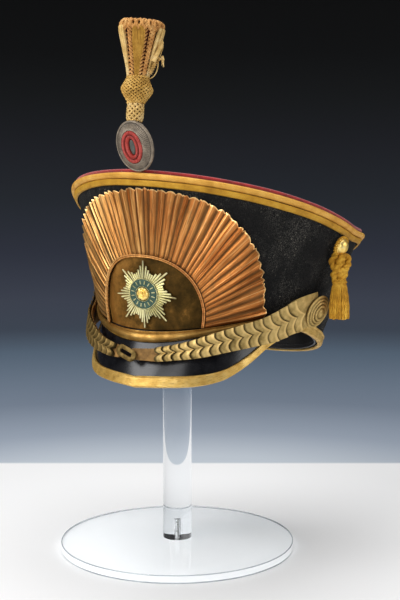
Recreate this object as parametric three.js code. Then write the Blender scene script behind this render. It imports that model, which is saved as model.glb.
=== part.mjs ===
// Military shako with a pleated front plate, chin scales, cockade and plume,
// standing on a clear post with a round base.
// Millimetres, +Z up. The origin is the centre of the base's underside.
// The hat's front faces -Y and the wearer's left is +X.
import * as THREE from 'three';

const DEG = Math.PI / 180;

// ---- Driving dimensions -------------------------------------------------

// Clear stand
const BASE_RADIUS = 95;
const BASE_THICKNESS = 6.5;
const POST_RADIUS = 11.75;
const POST_DOME_RADIUS = 20;
const STUD_RADIUS = 1.6;
const STUD_BOTTOM = 2;
const STUD_TOP = 22;
const STUD_CLEARANCE = 0.3;

// Seat of the hat on the stand
const HAT_PLACE = new THREE.Vector3(22.7, 22.05, 182);
const HAT_BACK_TILT = 16.65 * DEG;
const HAT_SIDE_TILT = 2.17 * DEG;

// Crown: an ellipse at the head opening, flaring to a larger, forward-set oval whose back
// half is shorter than its front half
const HEAD_HALF_LENGTH = 104.4;
const HEAD_HALF_WIDTH = 84.35;
const TOP_HALF_LENGTH = 131.5;
const TOP_BACK_HALF_LENGTH = 106;
const TOP_HALF_WIDTH = 114.1;
const TOP_FORWARD_SHIFT = 21;
const CROWN_HEIGHT = 82;
const FRONT_DIP = 27;
const FRONT_DIP_REACH = 90;
const FELT_THICKNESS = 3;
const CROWN_SIDES = 48;
const CROWN_ROWS = 3;
const SWEATBAND_WIDTH = 28;
const SWEATBAND_THICKNESS = 1.4;

// Top edge: highest at the back, sagging a little at the front left
const RIM_HEIGHT = 83.3;
const RIM_SAG = 4.3;
const RIM_SAG_ANGLE = 15;
const RIM_SAG_SHARPNESS = 6;
const RIM_BACK_RISE = { rise: 7, from: 90, to: 118 };
const PIPING_RADIUS = 1.3;
const TOP_DISC_HEIGHT = 72;
const TOP_DISC_THICKNESS = 3;

// Front plate
const PLATE_HALF_WIDTH = 92;
const PLATE_CENTRE_HEIGHT = 5;
const PLATE_RISE = 61.2;
const PLATE_SQUARENESS = 3;
const PLATE_RIGHT_DROOP = 0.02;
const PLATE_MM_PER_DEGREE = { low: 1.58, gain: 0.52, from: -10 };
const PLATE_FOOT_DROP = 27.6;
const PLATE_FOOT_RATE = 1.52;
const PLEATS = 46;
const PLEAT_DEPTH = 2.2;
const PLEAT_VALLEY_REACH = 0.975;
const ARCH_HALF_WIDTH = { left: 46.5, right: 36.5 };
const ARCH_CENTRE_HEIGHT = -15;
const ARCH_RISE = 37.5;
const ARCH_SQUARENESS = 2.6;
const BAR_END_ANGLE = 58;
const BAR_DEPTH = { ends: 3, extra: 5, rate: 1.5 };

// Star
const STAR_HEIGHT = -4;
const STAR_ANGLE = 2.1;
const STAR_REACH = 24;
const STAR_POINTS = 8;
const RAYS_PER_POINT = 4;
const STAR_MM_PER_DEGREE = 1.6;
const STAR_SLOPE = 0.95;
const STAR_BACK = 2.7;
const RAY_ROOT_RADIUS = 11.4;
const RAY_REACHES = [1, 0.78, 0.66];
const RAY_VALLEY_REACH = 0.82;

// Visor edge, by angle from the front: height of the edge and flare off the crown
const VISOR_EDGE = [
  { angle: 0, height: -69.5, flare: 1.7 },
  { angle: 15, height: -66.8, flare: 1.0 },
  { angle: 30, height: -62.1, flare: 0.6 },
  { angle: 42, height: -54.0, flare: 0.6 },
  { angle: 52, height: -40.0, flare: 0.7 },
  { angle: 62, height: -21.7, flare: 0.9 },
  { angle: 72, height: -8.6, flare: 1.6 },
  { angle: 79, height: -4.0, flare: 2.0 },
];
const VISOR_THICKNESS = 2.4;
const VISOR_RIM_WIDTH = 8;

// Chin-scale strap, from the rosette forward: centre line on the wall and half width
const STRAP_ROUTE = [
  { angle: 81.8, height: 15.8, half: 11.6 },
  { angle: 75.6, height: 10.0, half: 11.4 },
  { angle: 71.0, height: 5.0, half: 11.2 },
  { angle: 66.0, height: -1.4, half: 10.4 },
  { angle: 59.3, height: -9.9, half: 9.6 },
  { angle: 53.8, height: -15.1, half: 8.9 },
  { angle: 45.0, height: -22.6, half: 8.2 },
  { angle: 37.0, height: -29.2, half: 7.6 },
  { angle: 30.5, height: -34.6, half: 7.0 },
  { angle: 25.0, height: -38.5, half: 6.4 },
  { angle: 18.5, height: -42.0, half: 5.6 },
  { angle: 11.3, height: -45.0, half: 5.2 },
  { angle: 5.0, height: -46.0, half: 4.8 },
  { angle: -1.6, height: -46.6, half: 4.5 },
];
const STRAP_MM_PER_DEGREE = 1.62;
const STRAP_STANDOFF = 5.2;
const STRAP_THICKNESS = 1.2;
const STRAP_START = 0.075;
const STRAP_SOFTNESS = 0.12;
const RIGHT_STRAP_BULGE = 1.5;
const RIGHT_STRAP_BULGE_ANGLE = 46;
const RIGHT_STRAP_BULGE_SPREAD = 18;
const RIGHT_STRAP_LIFT = 1.6;
const SCALES = 16;
const SCALES_APART = 12;
const SCALE_SPAN = { start: 0.135, end: 0.87 };
const SCALE_SHRINK = 0.74;
const SCALE_THICKNESS = 1.0;
const ROSETTE_RADIUS = 13.2;

// Cockade: an oval disc on the front of the top edge
const COCKADE_FOOT = new THREE.Vector3(31.9, -103.5, 299.2);
const COCKADE_TOP = new THREE.Vector3(28.8, -113.8, 333.8);
const COCKADE_HALF_WIDTH = 14.9;

// Plume: a woven neck, a knot and a flared bundle of cords
const PLUME_FOOT = new THREE.Vector3(30.2, -109.0, 333.4);
const PLUME_TOP = new THREE.Vector3(37.2, -109.0, 402.0);
const PIN_RADIUS = 1.2;

// Side cord, hanging plumb from a button on the wearer's left
const BOSS_ANGLE = 84;
const BOSS_HEIGHT = 63.2;
const CORD_PLACE = new THREE.Vector3(135.2, 12.6, 0);

// Gap kept between neighbouring pieces
const GAP = 0.35;

// ---- Finishes -----------------------------------------------------------

function finish(color, roughness, metalness) {
  return new THREE.MeshStandardMaterial({ color, roughness, metalness });
}

const FELT = finish(0x17171a, 0.95, 0);
const BLACK_LEATHER = finish(0x101012, 0.5, 0);
const PATENT = finish(0x08080a, 0.12, 0);
const GOLD_LACE = finish(0xc69a3c, 0.6, 0.2);
const RED_CLOTH = finish(0xa03430, 0.9, 0);
const COPPER_GILT = finish(0xc0824a, 0.35, 1);
const OLD_BRASS = finish(0x8a6a35, 0.4, 1);
const STAR_SILVER = finish(0xd8d0a8, 0.35, 1);
const GREEN_ENAMEL = finish(0x2e6a58, 0.25, 0);
const GOLD = finish(0xd9a63c, 0.3, 1);
const SCALE_BRASS = finish(0xa8925a, 0.45, 1);
const BROWN_LEATHER = finish(0x7a4a22, 0.6, 0);
const GILT_LEATHER = finish(0xc8963a, 0.4, 0.3);
const GREY_SILVER = finish(0x8a8a86, 0.6, 0.4);
const COCKADE_RED = finish(0xb0403a, 0.7, 0);
const DARK_GREEN = finish(0x3a443c, 0.8, 0);
const GOLD_CORD = finish(0xb98a48, 0.7, 0.1);
const CLEAR_ACRYLIC = new THREE.MeshStandardMaterial({
  color: 0xeef4f6,
  roughness: 0.05,
  metalness: 0,
  transparent: true,
  opacity: 0.3,
});
const STEEL = finish(0xb0b0b0, 0.3, 1);

// ---- Geometry helpers ---------------------------------------------------

// Triangulates a section whose points lie close to one plane.
function capTriangles(ring) {
  const normal = new THREE.Vector3();
  ring.forEach((point, i) => {
    const next = ring[(i + 1) % ring.length];
    normal.x += (point.y - next.y) * (point.z + next.z);
    normal.y += (point.z - next.z) * (point.x + next.x);
    normal.z += (point.x - next.x) * (point.y + next.y);
  });
  normal.normalize();
  const turn = new THREE.Quaternion().setFromUnitVectors(normal, new THREE.Vector3(0, 0, 1));
  const flat = ring.map((point) => {
    const turned = point.clone().applyQuaternion(turn);
    return new THREE.Vector2(turned.x, turned.y);
  });
  return THREE.ShapeUtils.triangulateShape(flat, []);
}

// End triangles of a thin section: an outer row of points, then the inner row back again.
function stripTriangles(ring) {
  const last = ring.length - 1;
  const triangles = [];
  for (let j = 0; j < (last - 1) / 2; j += 1) {
    triangles.push([j, j + 1, last - 1 - j], [j, last - 1 - j, last - j]);
  }
  return triangles;
}

function signedVolume(points, triangles) {
  return triangles.reduce((sum, [a, b, c]) => {
    const cross = points[b].clone().cross(points[c]);
    return sum + points[a].dot(cross) / 6;
  }, 0);
}

// Closed solid through a row of closed sections; a looped row joins its ends.
function loft(rings, looped = false, endTriangles = capTriangles) {
  const size = rings[0].length;
  const points = rings.flat();
  const triangles = [];
  const spans = looped ? rings.length : rings.length - 1;
  for (let i = 0; i < spans; i += 1) {
    const here = i * size;
    const there = ((i + 1) % rings.length) * size;
    for (let j = 0; j < size; j += 1) {
      const next = (j + 1) % size;
      triangles.push([here + j, here + next, there + next]);
      triangles.push([here + j, there + next, there + j]);
    }
  }
  if (!looped) {
    const last = (rings.length - 1) * size;
    for (const [a, b, c] of endTriangles(rings[0])) {
      triangles.push([c, b, a]);
    }
    for (const [a, b, c] of endTriangles(rings[rings.length - 1])) {
      triangles.push([last + a, last + b, last + c]);
    }
  }
  const outward = signedVolume(points, triangles) > 0;
  const geometry = new THREE.BufferGeometry();
  const positions = points.flatMap((point) => [point.x, point.y, point.z]);
  geometry.setAttribute('position', new THREE.Float32BufferAttribute(positions, 3));
  geometry.setIndex(triangles.flatMap(([a, b, c]) => (outward ? [a, b, c] : [a, c, b])));
  geometry.computeVertexNormals();
  return geometry;
}

// Closed sheet between an outer and an inner row of points at each step along it.
function sheet(rows) {
  const rings = rows.map(({ outside, inside }) => [...outside, ...inside.reverse()]);
  return loft(rings, false, stripTriangles);
}

// Evenly spaced numbers from first to last, both included.
function steps(first, last, count) {
  return Array.from({ length: count + 1 }, (_, i) => first + ((last - first) * i) / count);
}

// Turned solid from rows of radius and height, closed on the axis.
function turned(rows, sides = 24) {
  const profile = rows.map(([radius, height]) => new THREE.Vector2(radius, height));
  if (THREE.ShapeUtils.area(profile) < 0) {
    profile.reverse();
  }
  const geometry = new THREE.LatheGeometry(profile, sides);
  geometry.rotateX(Math.PI / 2);
  return geometry;
}

// Reads a column of a table of rows by the row's angle, with a smooth curve through it.
function smoothColumn(rows, key) {
  return (angle) => {
    const last = rows.length - 1;
    const rising = rows[last].angle > rows[0].angle;
    let i = rows.findIndex((row) => (rising ? row.angle >= angle : row.angle <= angle));
    i = i < 0 ? last : Math.max(1, i);
    const before = rows[i - 1];
    const after = rows[i];
    const part = THREE.MathUtils.clamp((angle - before.angle) / (after.angle - before.angle), 0, 1);
    const slope = (k) => {
      const low = rows[Math.max(0, k - 1)];
      const high = rows[Math.min(last, k + 1)];
      return (high[key] - low[key]) / (high.angle - low.angle);
    };
    const width = after.angle - before.angle;
    const p2 = part * part;
    const p3 = p2 * part;
    return (2 * p3 - 3 * p2 + 1) * before[key] + (p3 - 2 * p2 + part) * width * slope(i - 1)
      + (3 * p2 - 2 * p3) * after[key] + (p3 - p2) * width * slope(i);
  };
}

// ---- The crown's surface --------------------------------------------------

// Height of the crown's lower edge, dipping at the front.
function footHeight(angle) {
  const turn = Math.abs(angle);
  if (turn >= FRONT_DIP_REACH) {
    return 0;
  }
  return -FRONT_DIP * (0.5 + 0.5 * Math.cos((Math.PI * turn) / FRONT_DIP_REACH));
}

// Height of the crown's top edge.
function rimHeight(angle) {
  const sag = 0.5 + 0.5 * Math.cos((angle - RIM_SAG_ANGLE) * DEG);
  const back = THREE.MathUtils.smoothstep(Math.abs(angle), RIM_BACK_RISE.from, RIM_BACK_RISE.to);
  return RIM_HEIGHT - RIM_SAG * sag ** RIM_SAG_SHARPNESS + RIM_BACK_RISE.rise * back;
}

// A point at an angle from the front (degrees, + to the wearer's left), a height and an
// offset out from the crown. Below the crown's foot the wall goes straight down, and
// softness rounds the bend between the two.
function wall(angle, height, offset, softness = 0) {
  const foot = footHeight(angle);
  const above = (height - foot) / (CROWN_HEIGHT - foot);
  const part = (above + Math.sqrt(above * above + softness * softness)) / 2;
  const topHalf = Math.abs(angle) > 90 && Math.abs(angle) < 270 ? TOP_BACK_HALF_LENGTH : TOP_HALF_LENGTH;
  const halfLength = HEAD_HALF_LENGTH + part * (topHalf - HEAD_HALF_LENGTH) + offset;
  const halfWidth = HEAD_HALF_WIDTH + part * (TOP_HALF_WIDTH - HEAD_HALF_WIDTH) + offset;
  const x = halfWidth * Math.sin(angle * DEG);
  const y = -part * TOP_FORWARD_SHIFT - halfLength * Math.cos(angle * DEG);
  return new THREE.Vector3(x, y, height);
}

const allRound = steps(-180, 180, CROWN_SIDES).slice(0, CROWN_SIDES);

// A band of one section carried all round the crown; rows give offset and rise.
function ringBand(section, heightAt) {
  const rings = allRound.map((angle) => section.map(
    ([offset, rise]) => wall(angle, heightAt(angle) + rise, offset),
  ));
  return loft(rings, true);
}

// ---- Crown, top and bands -------------------------------------------------

function crownShell() {
  const rings = allRound.map((angle) => {
    const foot = footHeight(angle);
    const top = rimHeight(angle) - 2 * PIPING_RADIUS - GAP;
    const heights = steps(foot, top, CROWN_ROWS);
    const outside = heights.map((height) => wall(angle, height, 0));
    const inside = heights.map((height) => wall(angle, height, -FELT_THICKNESS));
    return [...outside, ...inside.reverse()];
  });
  return loft(rings, true);
}

function crownTop() {
  const inset = -FELT_THICKNESS - GAP;
  const outline = (height) => allRound.map((angle) => wall(angle, height, inset));
  return loft([outline(TOP_DISC_HEIGHT), outline(TOP_DISC_HEIGHT + TOP_DISC_THICKNESS)]);
}

function rimPiping() {
  const corners = 6;
  const section = steps(0, 2 * Math.PI, corners).slice(0, corners).map((turn) => [
    -FELT_THICKNESS / 2 + 1.4 * PIPING_RADIUS * Math.cos(turn),
    -PIPING_RADIUS + PIPING_RADIUS * Math.sin(turn),
  ]);
  return ringBand(section, rimHeight);
}

function rimRoll() {
  const section = [
    [GAP, -7.0],
    [2.4, -7.0],
    [3.7, -5.4],
    [3.2, -3.4],
    [GAP, -2.9],
  ];
  return ringBand(section, rimHeight);
}

function laceBand() {
  const section = [
    [GAP, -11.2],
    [1.8, -11.2],
    [2.1, -8.2],
    [GAP, -7.4],
  ];
  return ringBand(section, rimHeight);
}

function sweatband() {
  const outer = -FELT_THICKNESS - 2 * GAP;
  const section = [
    [outer, -0.5],
    [outer, SWEATBAND_WIDTH],
    [outer - SWEATBAND_THICKNESS, SWEATBAND_WIDTH],
    [outer - SWEATBAND_THICKNESS, -0.5],
  ];
  return ringBand(section, footHeight);
}

// Folded strip over the crown's lower edge, round the back from ear to ear.
function lowerBinding() {
  const outside = 1.5;
  const legs = 5.2;
  const inner = -FELT_THICKNESS + 0.8;
  const rings = steps(80, 280, 36).map((angle) => {
    const foot = footHeight(angle > 180 ? angle - 360 : angle);
    return [
      wall(angle, foot + legs, outside),
      wall(angle, foot - 0.9, outside),
      wall(angle, foot - 1.7, outside - 0.9),
      wall(angle, foot - 1.7, inner),
      wall(angle, foot - GAP, inner),
      wall(angle, foot - GAP, GAP),
      wall(angle, foot + legs, GAP),
    ];
  });
  return loft(rings);
}

// ---- Visor ----------------------------------------------------------------

const visorHeight = smoothColumn(VISOR_EDGE, 'height');
const visorFlare = smoothColumn(VISOR_EDGE, 'flare');
const VISOR_END = VISOR_EDGE[VISOR_EDGE.length - 1].angle;
const VISOR_OUTSIDE = -0.5;

function visorRimWidth(angle) {
  const drop = footHeight(angle) - visorHeight(Math.abs(angle));
  return Math.min(VISOR_RIM_WIDTH, drop - 1.2);
}

const visorAngles = steps(-VISOR_END, VISOR_END, 36);

// Offset of the visor's outer face, flaring evenly from the crown's foot to the edge.
function visorFace(angle, height) {
  const top = footHeight(angle);
  const part = (top - height) / (top - visorHeight(Math.abs(angle)));
  return VISOR_OUTSIDE + visorFlare(Math.abs(angle)) * part;
}

function visor() {
  return sheet(visorAngles.map((angle) => {
    const edge = visorHeight(Math.abs(angle)) + 1.3;
    const heights = steps(footHeight(angle) - GAP, edge, 2);
    const outside = heights.map((height) => wall(angle, height, visorFace(angle, height)));
    const inside = heights.map(
      (height) => wall(angle, height, visorFace(angle, height) - VISOR_THICKNESS),
    );
    return { outside, inside };
  }));
}

// Folded strip over the visor's edge. Its section gives rise above the edge and distance
// from the visor's outer or inner face.
function visorRim() {
  const rings = visorAngles.map((angle) => {
    const edge = visorHeight(Math.abs(angle));
    const width = visorRimWidth(angle);
    const outer = (rise, away) => {
      const height = edge + rise;
      return wall(angle, height, visorFace(angle, height) + away);
    };
    const inner = (rise, away) => outer(rise, -VISOR_THICKNESS - away);
    return [
      outer(width, 1.4),
      outer(0.5, 1.6),
      outer(0, 0.8),
      inner(0, 0.8),
      inner(0.5, 1.4),
      inner(width * 0.8, 1.4),
      inner(width * 0.8, 0.45),
      inner(0.9, 0.45),
      outer(0.9, 0.45),
      outer(width, 0.45),
    ];
  });
  return loft(rings);
}

// ---- Front plate ------------------------------------------------------------

// Angle of a point that lies across the plate by a distance along the wall.
function plateAngle(across, height) {
  const { from } = PLATE_MM_PER_DEGREE;
  const part = Math.max(0, (height - from) / (CROWN_HEIGHT - from));
  return across / (PLATE_MM_PER_DEGREE.low + PLATE_MM_PER_DEGREE.gain * part);
}

function plateFoot(angle) {
  return -PLATE_FOOT_DROP * Math.cos(PLATE_FOOT_RATE * angle * DEG);
}

// Half of a rounded-square outline: across and height at a turn of -90 to 90 degrees.
function archedOutline(turn, halfWidth, centre, rise, squareness) {
  const power = 2 / squareness;
  const sine = Math.sin(turn * DEG);
  const across = halfWidth * Math.sign(sine) * Math.abs(sine) ** power;
  const height = centre + rise * Math.abs(Math.cos(turn * DEG)) ** power;
  return { across, height };
}

// Both outlines run up one straight side, over the arch and down the other side.
// Turns past 90 degrees are on the straight sides.
function outlinePoint(turn, halfWidth, centre, rise, squareness, limit) {
  const side = Math.sign(turn);
  const over = Math.max(0, Math.abs(turn) - 90) / (limit - 90);
  const point = archedOutline(side * Math.min(90, Math.abs(turn)), halfWidth, centre, rise, squareness);
  if (over > 0) {
    const foot = plateFoot(plateAngle(point.across, 0));
    point.height += (foot - point.height) * over;
  }
  return point;
}

const FAN_TURN_LIMIT = 98;

function fanEdge(turn) {
  const point = outlinePoint(
    turn, PLATE_HALF_WIDTH, PLATE_CENTRE_HEIGHT, PLATE_RISE, PLATE_SQUARENESS, FAN_TURN_LIMIT,
  );
  const lift = THREE.MathUtils.clamp(point.height / PLATE_RISE, 0, 1);
  point.height -= PLATE_RIGHT_DROOP * Math.max(0, -point.across) * lift;
  return point;
}

function archEdge(turn, inset = 0) {
  const half = turn < 0 ? ARCH_HALF_WIDTH.right : ARCH_HALF_WIDTH.left;
  return outlinePoint(
    turn, half - inset, ARCH_CENTRE_HEIGHT, ARCH_RISE - inset, ARCH_SQUARENESS, FAN_TURN_LIMIT,
  );
}

// Straight pleats fan out from the arch to a scalloped edge.
function fanPlate() {
  const rows = 3;
  return sheet(steps(-FAN_TURN_LIMIT, FAN_TURN_LIMIT, 2 * PLEATS).map((turn, i) => {
    const ridge = i % 2;
    const inner = archEdge(turn, -0.6);
    const outer = fanEdge(turn);
    const points = steps(0, 1, rows).map((part) => {
      const reach = part * (ridge ? 1 : PLEAT_VALLEY_REACH);
      return {
        across: inner.across + (outer.across - inner.across) * reach,
        height: inner.height + (outer.height - inner.height) * reach,
        lift: 1.3 + ridge * PLEAT_DEPTH * (0.35 + 0.65 * part),
      };
    });
    const place = (point, offset) => wall(plateAngle(point.across, point.height), point.height, offset);
    const outside = points.map((point) => place(point, 0.7 + point.lift));
    const inside = points.map((point) => place(point, 0.7 + ridge * 0.6 * point.lift - ridge * 0.4));
    return { outside, inside };
  }));
}

function archPlate() {
  return sheet(steps(-FAN_TURN_LIMIT, FAN_TURN_LIMIT, 28).map((turn) => {
    const point = archEdge(turn, 1.4);
    const angle = plateAngle(point.across, point.height);
    const foot = plateFoot(angle);
    const heights = steps(foot + 0.4, Math.max(foot + 0.8, point.height), 2);
    const outside = heights.map((height) => wall(angle, height, 2.2));
    const inside = heights.map((height) => wall(angle, height, 0.8));
    return { outside, inside };
  }));
}

function archRim() {
  const corners = 5;
  const rings = steps(-FAN_TURN_LIMIT, FAN_TURN_LIMIT, 28).map((turn) => {
    const outer = archEdge(turn, 0);
    const inner = archEdge(turn, 2.6);
    return steps(0, 180, corners - 1).map((bend) => {
      const part = 0.5 + 0.5 * Math.cos(bend * DEG);
      const across = inner.across + (outer.across - inner.across) * part;
      const height = inner.height + (outer.height - inner.height) * part;
      return wall(plateAngle(across, height), height, 4.4 + 1.3 * Math.sin(bend * DEG));
    });
  });
  return loft(rings);
}

// Rounded moulding under the plate, deepest at the centre.
function baseBar() {
  const rings = steps(-BAR_END_ANGLE, BAR_END_ANGLE, 30).map((angle) => {
    const top = plateFoot(angle) - 2 * GAP;
    const depth = BAR_DEPTH.ends + BAR_DEPTH.extra * Math.cos(BAR_DEPTH.rate * angle * DEG) ** 2;
    return [
      wall(angle, top, 1.1),
      wall(angle, top, 3.4),
      wall(angle, top - 0.25 * depth, 4.4),
      wall(angle, top - 0.6 * depth, 4.4),
      wall(angle, top - depth, 2.1),
      wall(angle, top - depth, 1.1),
    ];
  });
  return loft(rings);
}

// ---- Star -----------------------------------------------------------------

function onStar(radius, turn, offset) {
  const across = radius * Math.sin(turn);
  const up = radius * Math.cos(turn);
  const angle = STAR_ANGLE + across / STAR_MM_PER_DEGREE;
  return wall(angle, STAR_HEIGHT + up * STAR_SLOPE, offset);
}

// Each point is a stepped group of rays, longest in the middle.
function starRays() {
  const tips = STAR_POINTS * RAYS_PER_POINT;
  const rings = steps(0, tips * 2, tips * 2).slice(0, tips * 2).map((i) => {
    const turn = (i / (tips * 2)) * 2 * Math.PI;
    const place = Math.floor((i + 1) / 2) % RAYS_PER_POINT;
    const step = Math.min(place, RAYS_PER_POINT - place);
    const reach = STAR_REACH * RAY_REACHES[step];
    const valley = i % 2 === 1;
    const radius = valley ? reach * RAY_VALLEY_REACH : reach;
    const crest = valley ? 4.2 : 4.9;
    return [
      onStar(RAY_ROOT_RADIUS, turn, 5.6),
      onStar(radius, turn, crest),
      onStar(radius, turn, crest - 1.2),
      onStar(RAY_ROOT_RADIUS, turn, STAR_BACK),
    ];
  });
  return loft(rings, true);
}

// Ring round the star's centre from rows of radius and offset.
function starRound(rows) {
  const sides = 24;
  const turns = steps(0, 2 * Math.PI, sides).slice(0, sides);
  const rings = turns.map((turn) => rows.map(([radius, offset]) => onStar(radius, turn, offset)));
  return loft(rings, true);
}

function starRing() {
  return starRound([[11, STAR_BACK], [11, 6.2], [5.1, 6.6], [5.1, STAR_BACK]]);
}

function starCentre() {
  const sides = 16;
  const turns = steps(0, 2 * Math.PI, sides).slice(0, sides);
  const rows = [[4.7, STAR_BACK], [4.7, 6.9], [3.5, 8.2], [1.6, 8.9]];
  return loft(rows.map(([radius, offset]) => turns.map((turn) => onStar(radius, turn, offset))));
}

// ---- Chin scales ------------------------------------------------------------

const routeRows = STRAP_ROUTE.map((row) => new THREE.Vector3(
  row.angle * STRAP_MM_PER_DEGREE, row.height, row.half,
));
const strapCurve = new THREE.CatmullRomCurve3(routeRows, false, 'centripetal');

// Bulge of the loosely hanging right strap away from the wall.
function strapBulge(side, angle) {
  if (side > 0) {
    return 0;
  }
  const near = (angle - RIGHT_STRAP_BULGE_ANGLE) / RIGHT_STRAP_BULGE_SPREAD;
  return RIGHT_STRAP_BULGE * Math.exp(-near * near);
}

// A point on a strap: part of its length, cross position from -1 to 1, and offset.
function strapPoint(side, part, cross, offset) {
  const place = Math.min(part, 1);
  const centre = strapCurve.getPointAt(place);
  const along = strapCurve.getTangentAt(place);
  const length = Math.hypot(along.x, along.y);
  const shift = cross * centre.z;
  const angle = (centre.x + (along.y / length) * shift) / STRAP_MM_PER_DEGREE;
  const height = centre.y - (along.x / length) * shift;
  const bulge = strapBulge(side, centre.x / STRAP_MM_PER_DEGREE);
  return wall(side * angle, height, offset + bulge, STRAP_SOFTNESS);
}

// Offset of the leather's underside, which eases away from the wall on the right strap.
function strapUnderside(side, part) {
  return STRAP_STANDOFF + (side < 0 ? RIGHT_STRAP_LIFT * part : 0);
}

function strapLeather(side, last) {
  return sheet(steps(STRAP_START, last, 24).map((part) => {
    const cross = steps(-0.9, 0.9, 2);
    const low = strapUnderside(side, part);
    const outside = cross.map((c) => strapPoint(side, part, c, low + STRAP_THICKNESS));
    const inside = cross.map((c) => strapPoint(side, part, c, low));
    return { outside, inside };
  }));
}

// Strap parts where scales meet: the spacing shrinks evenly towards the front.
function scaleMarks() {
  const sizes = steps(1, SCALE_SHRINK, SCALES - 1);
  const total = sizes.reduce((sum, size) => sum + size, 0);
  const marks = [SCALE_SPAN.start];
  for (const size of sizes) {
    const span = (SCALE_SPAN.end - SCALE_SPAN.start) * (size / total);
    marks.push(marks[marks.length - 1] + span);
  }
  return marks;
}

// Two lobes with a point between them, for an edge that faces the rosette.
function bracket(cross) {
  const fromPoint = Math.abs(cross);
  return 0.5 * Math.exp(-fromPoint * 3.2) - 0.2 * Math.sin(Math.PI * fromPoint);
}

const CROSS_STEPS = steps(-1, 1, 8);

// Rows run from the free edge, by the rosette, to the root under the next scale.
function scaleSolid(side, rows) {
  return sheet(rows.map(({ part, pitch, lift }) => {
    const edge = (cross) => part - pitch * bracket(cross);
    const crown = (cross) => 1.5 * (1 - cross * cross);
    const low = strapUnderside(side, part) + STRAP_THICKNESS + GAP;
    const point = (cross, height) => strapPoint(side, edge(cross), cross, low + height + crown(cross));
    const outside = CROSS_STEPS.map((cross) => point(cross, lift + SCALE_THICKNESS));
    const inside = CROSS_STEPS.map((cross) => point(cross, lift));
    return { outside, inside };
  }));
}

const SCALE_LIFT = 1.9;
const SCALE_OVERLAP = 0.14;

function oneScale(side, from, to) {
  const pitch = to - from;
  return scaleSolid(side, [
    { part: from, pitch, lift: SCALE_LIFT },
    { part: from + pitch * 0.5, pitch, lift: SCALE_LIFT * 0.6 },
    { part: to + pitch * SCALE_OVERLAP, pitch, lift: 0 },
  ]);
}

// The small front scales as one stepped strip.
function frontScales(side, marks) {
  const rows = [];
  for (let i = 0; i + 1 < marks.length; i += 1) {
    const pitch = marks[i + 1] - marks[i];
    const last = i + 2 === marks.length;
    rows.push({ part: marks[i], pitch, lift: SCALE_LIFT });
    rows.push({ part: marks[i + 1] - (last ? 0 : pitch * 0.06), pitch, lift: SCALE_LIFT * 0.25 });
  }
  return scaleSolid(side, rows);
}

// Flat oval end with a slot, at the tip of the right strap: place of its centre across
// the front and its lean (radians), then half width, straight half length and thickness.
const LOOP = {
  across: -5.5,
  height: -46.6,
  lean: -0.35,
  half: 3.9,
  end: 4.0,
  slotHalf: 1.2,
  slotEnd: 3.6,
  thickness: 1.3,
};

function strapLoop() {
  const low = strapUnderside(-1, 1) + STRAP_THICKNESS + GAP;
  const oval = (turn, half, end, offset) => {
    const along = half * Math.cos(turn) + end * Math.sign(Math.cos(turn));
    const over = half * Math.sin(turn);
    const across = LOOP.across + along * Math.cos(LOOP.lean) - over * Math.sin(LOOP.lean);
    const height = LOOP.height + along * Math.sin(LOOP.lean) + over * Math.cos(LOOP.lean);
    return wall(across / STAR_MM_PER_DEGREE, height, offset, STRAP_SOFTNESS);
  };
  const sides = 24;
  const turns = steps(0, 2 * Math.PI, sides).slice(0, sides).map((turn) => turn + Math.PI / sides);
  const top = low + LOOP.thickness;
  const rings = turns.map((turn) => [
    oval(turn, LOOP.half, LOOP.end, low),
    oval(turn, LOOP.half, LOOP.end, top),
    oval(turn, LOOP.slotHalf, LOOP.slotEnd, top),
    oval(turn, LOOP.slotHalf, LOOP.slotEnd, low),
  ]);
  return loft(rings, true);
}

// Stepped concentric boss that carries the strap's upper end.
function rosette() {
  const r = ROSETTE_RADIUS;
  return turned([
    [0, 0],
    [7.4, 0],
    [7.4, 7.5],
    [r, 7.5],
    [r * 0.97, 8.8],
    [r * 0.8, 9.4],
    [r * 0.8, 10.4],
    [r * 0.66, 10.9],
    [r * 0.4, 11.6],
    [0, 13.2],
  ], 24);
}

// ---- Cockade and plume ------------------------------------------------------

const cockadeUp = COCKADE_TOP.clone().sub(COCKADE_FOOT);
const cockadeHalfHeight = cockadeUp.length() / 2;
cockadeUp.normalize();
const cockadeCentre = COCKADE_TOP.clone().add(COCKADE_FOOT).multiplyScalar(0.5);
const cockadeSide = new THREE.Vector3(1, 0, 0).addScaledVector(cockadeUp, -cockadeUp.x).normalize();
const cockadeFront = new THREE.Vector3().crossVectors(cockadeSide, cockadeUp).normalize();

// Oval solid from rows of inset and depth towards the front.
function cockadeOval(rows, sides = 24) {
  const turns = steps(0, 2 * Math.PI, sides).slice(0, sides);
  return rows.map(([inset, depth]) => turns.map((turn) => cockadeCentre.clone()
    .addScaledVector(cockadeSide, (COCKADE_HALF_WIDTH - inset) * Math.cos(turn))
    .addScaledVector(cockadeUp, (cockadeHalfHeight - inset) * Math.sin(turn))
    .addScaledVector(cockadeFront, depth)));
}

function cockadeDisc() {
  const rows = [[0, -0.9], [0, 0.9], [1.2, 1.5], [1.6, 1.2], [6.4, 4.4], [6.4, -0.9]];
  return loft(cockadeOval(rows), true);
}

function cockadeRing() {
  const rows = [[6.8, -0.4], [6.8, 4.8], [8.8, 5.5], [11.0, 4.8], [11.0, -0.4]];
  return loft(cockadeOval(rows), true);
}

function cockadeCore() {
  return loft(cockadeOval([[11.4, -0.4], [11.4, 3.4], [12.4, 4.2]], 16));
}

const plumeAxis = PLUME_TOP.clone().sub(PLUME_FOOT);
plumeAxis.normalize();
const plumeTurn = new THREE.Quaternion().setFromUnitVectors(new THREE.Vector3(0, 0, 1), plumeAxis);

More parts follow.
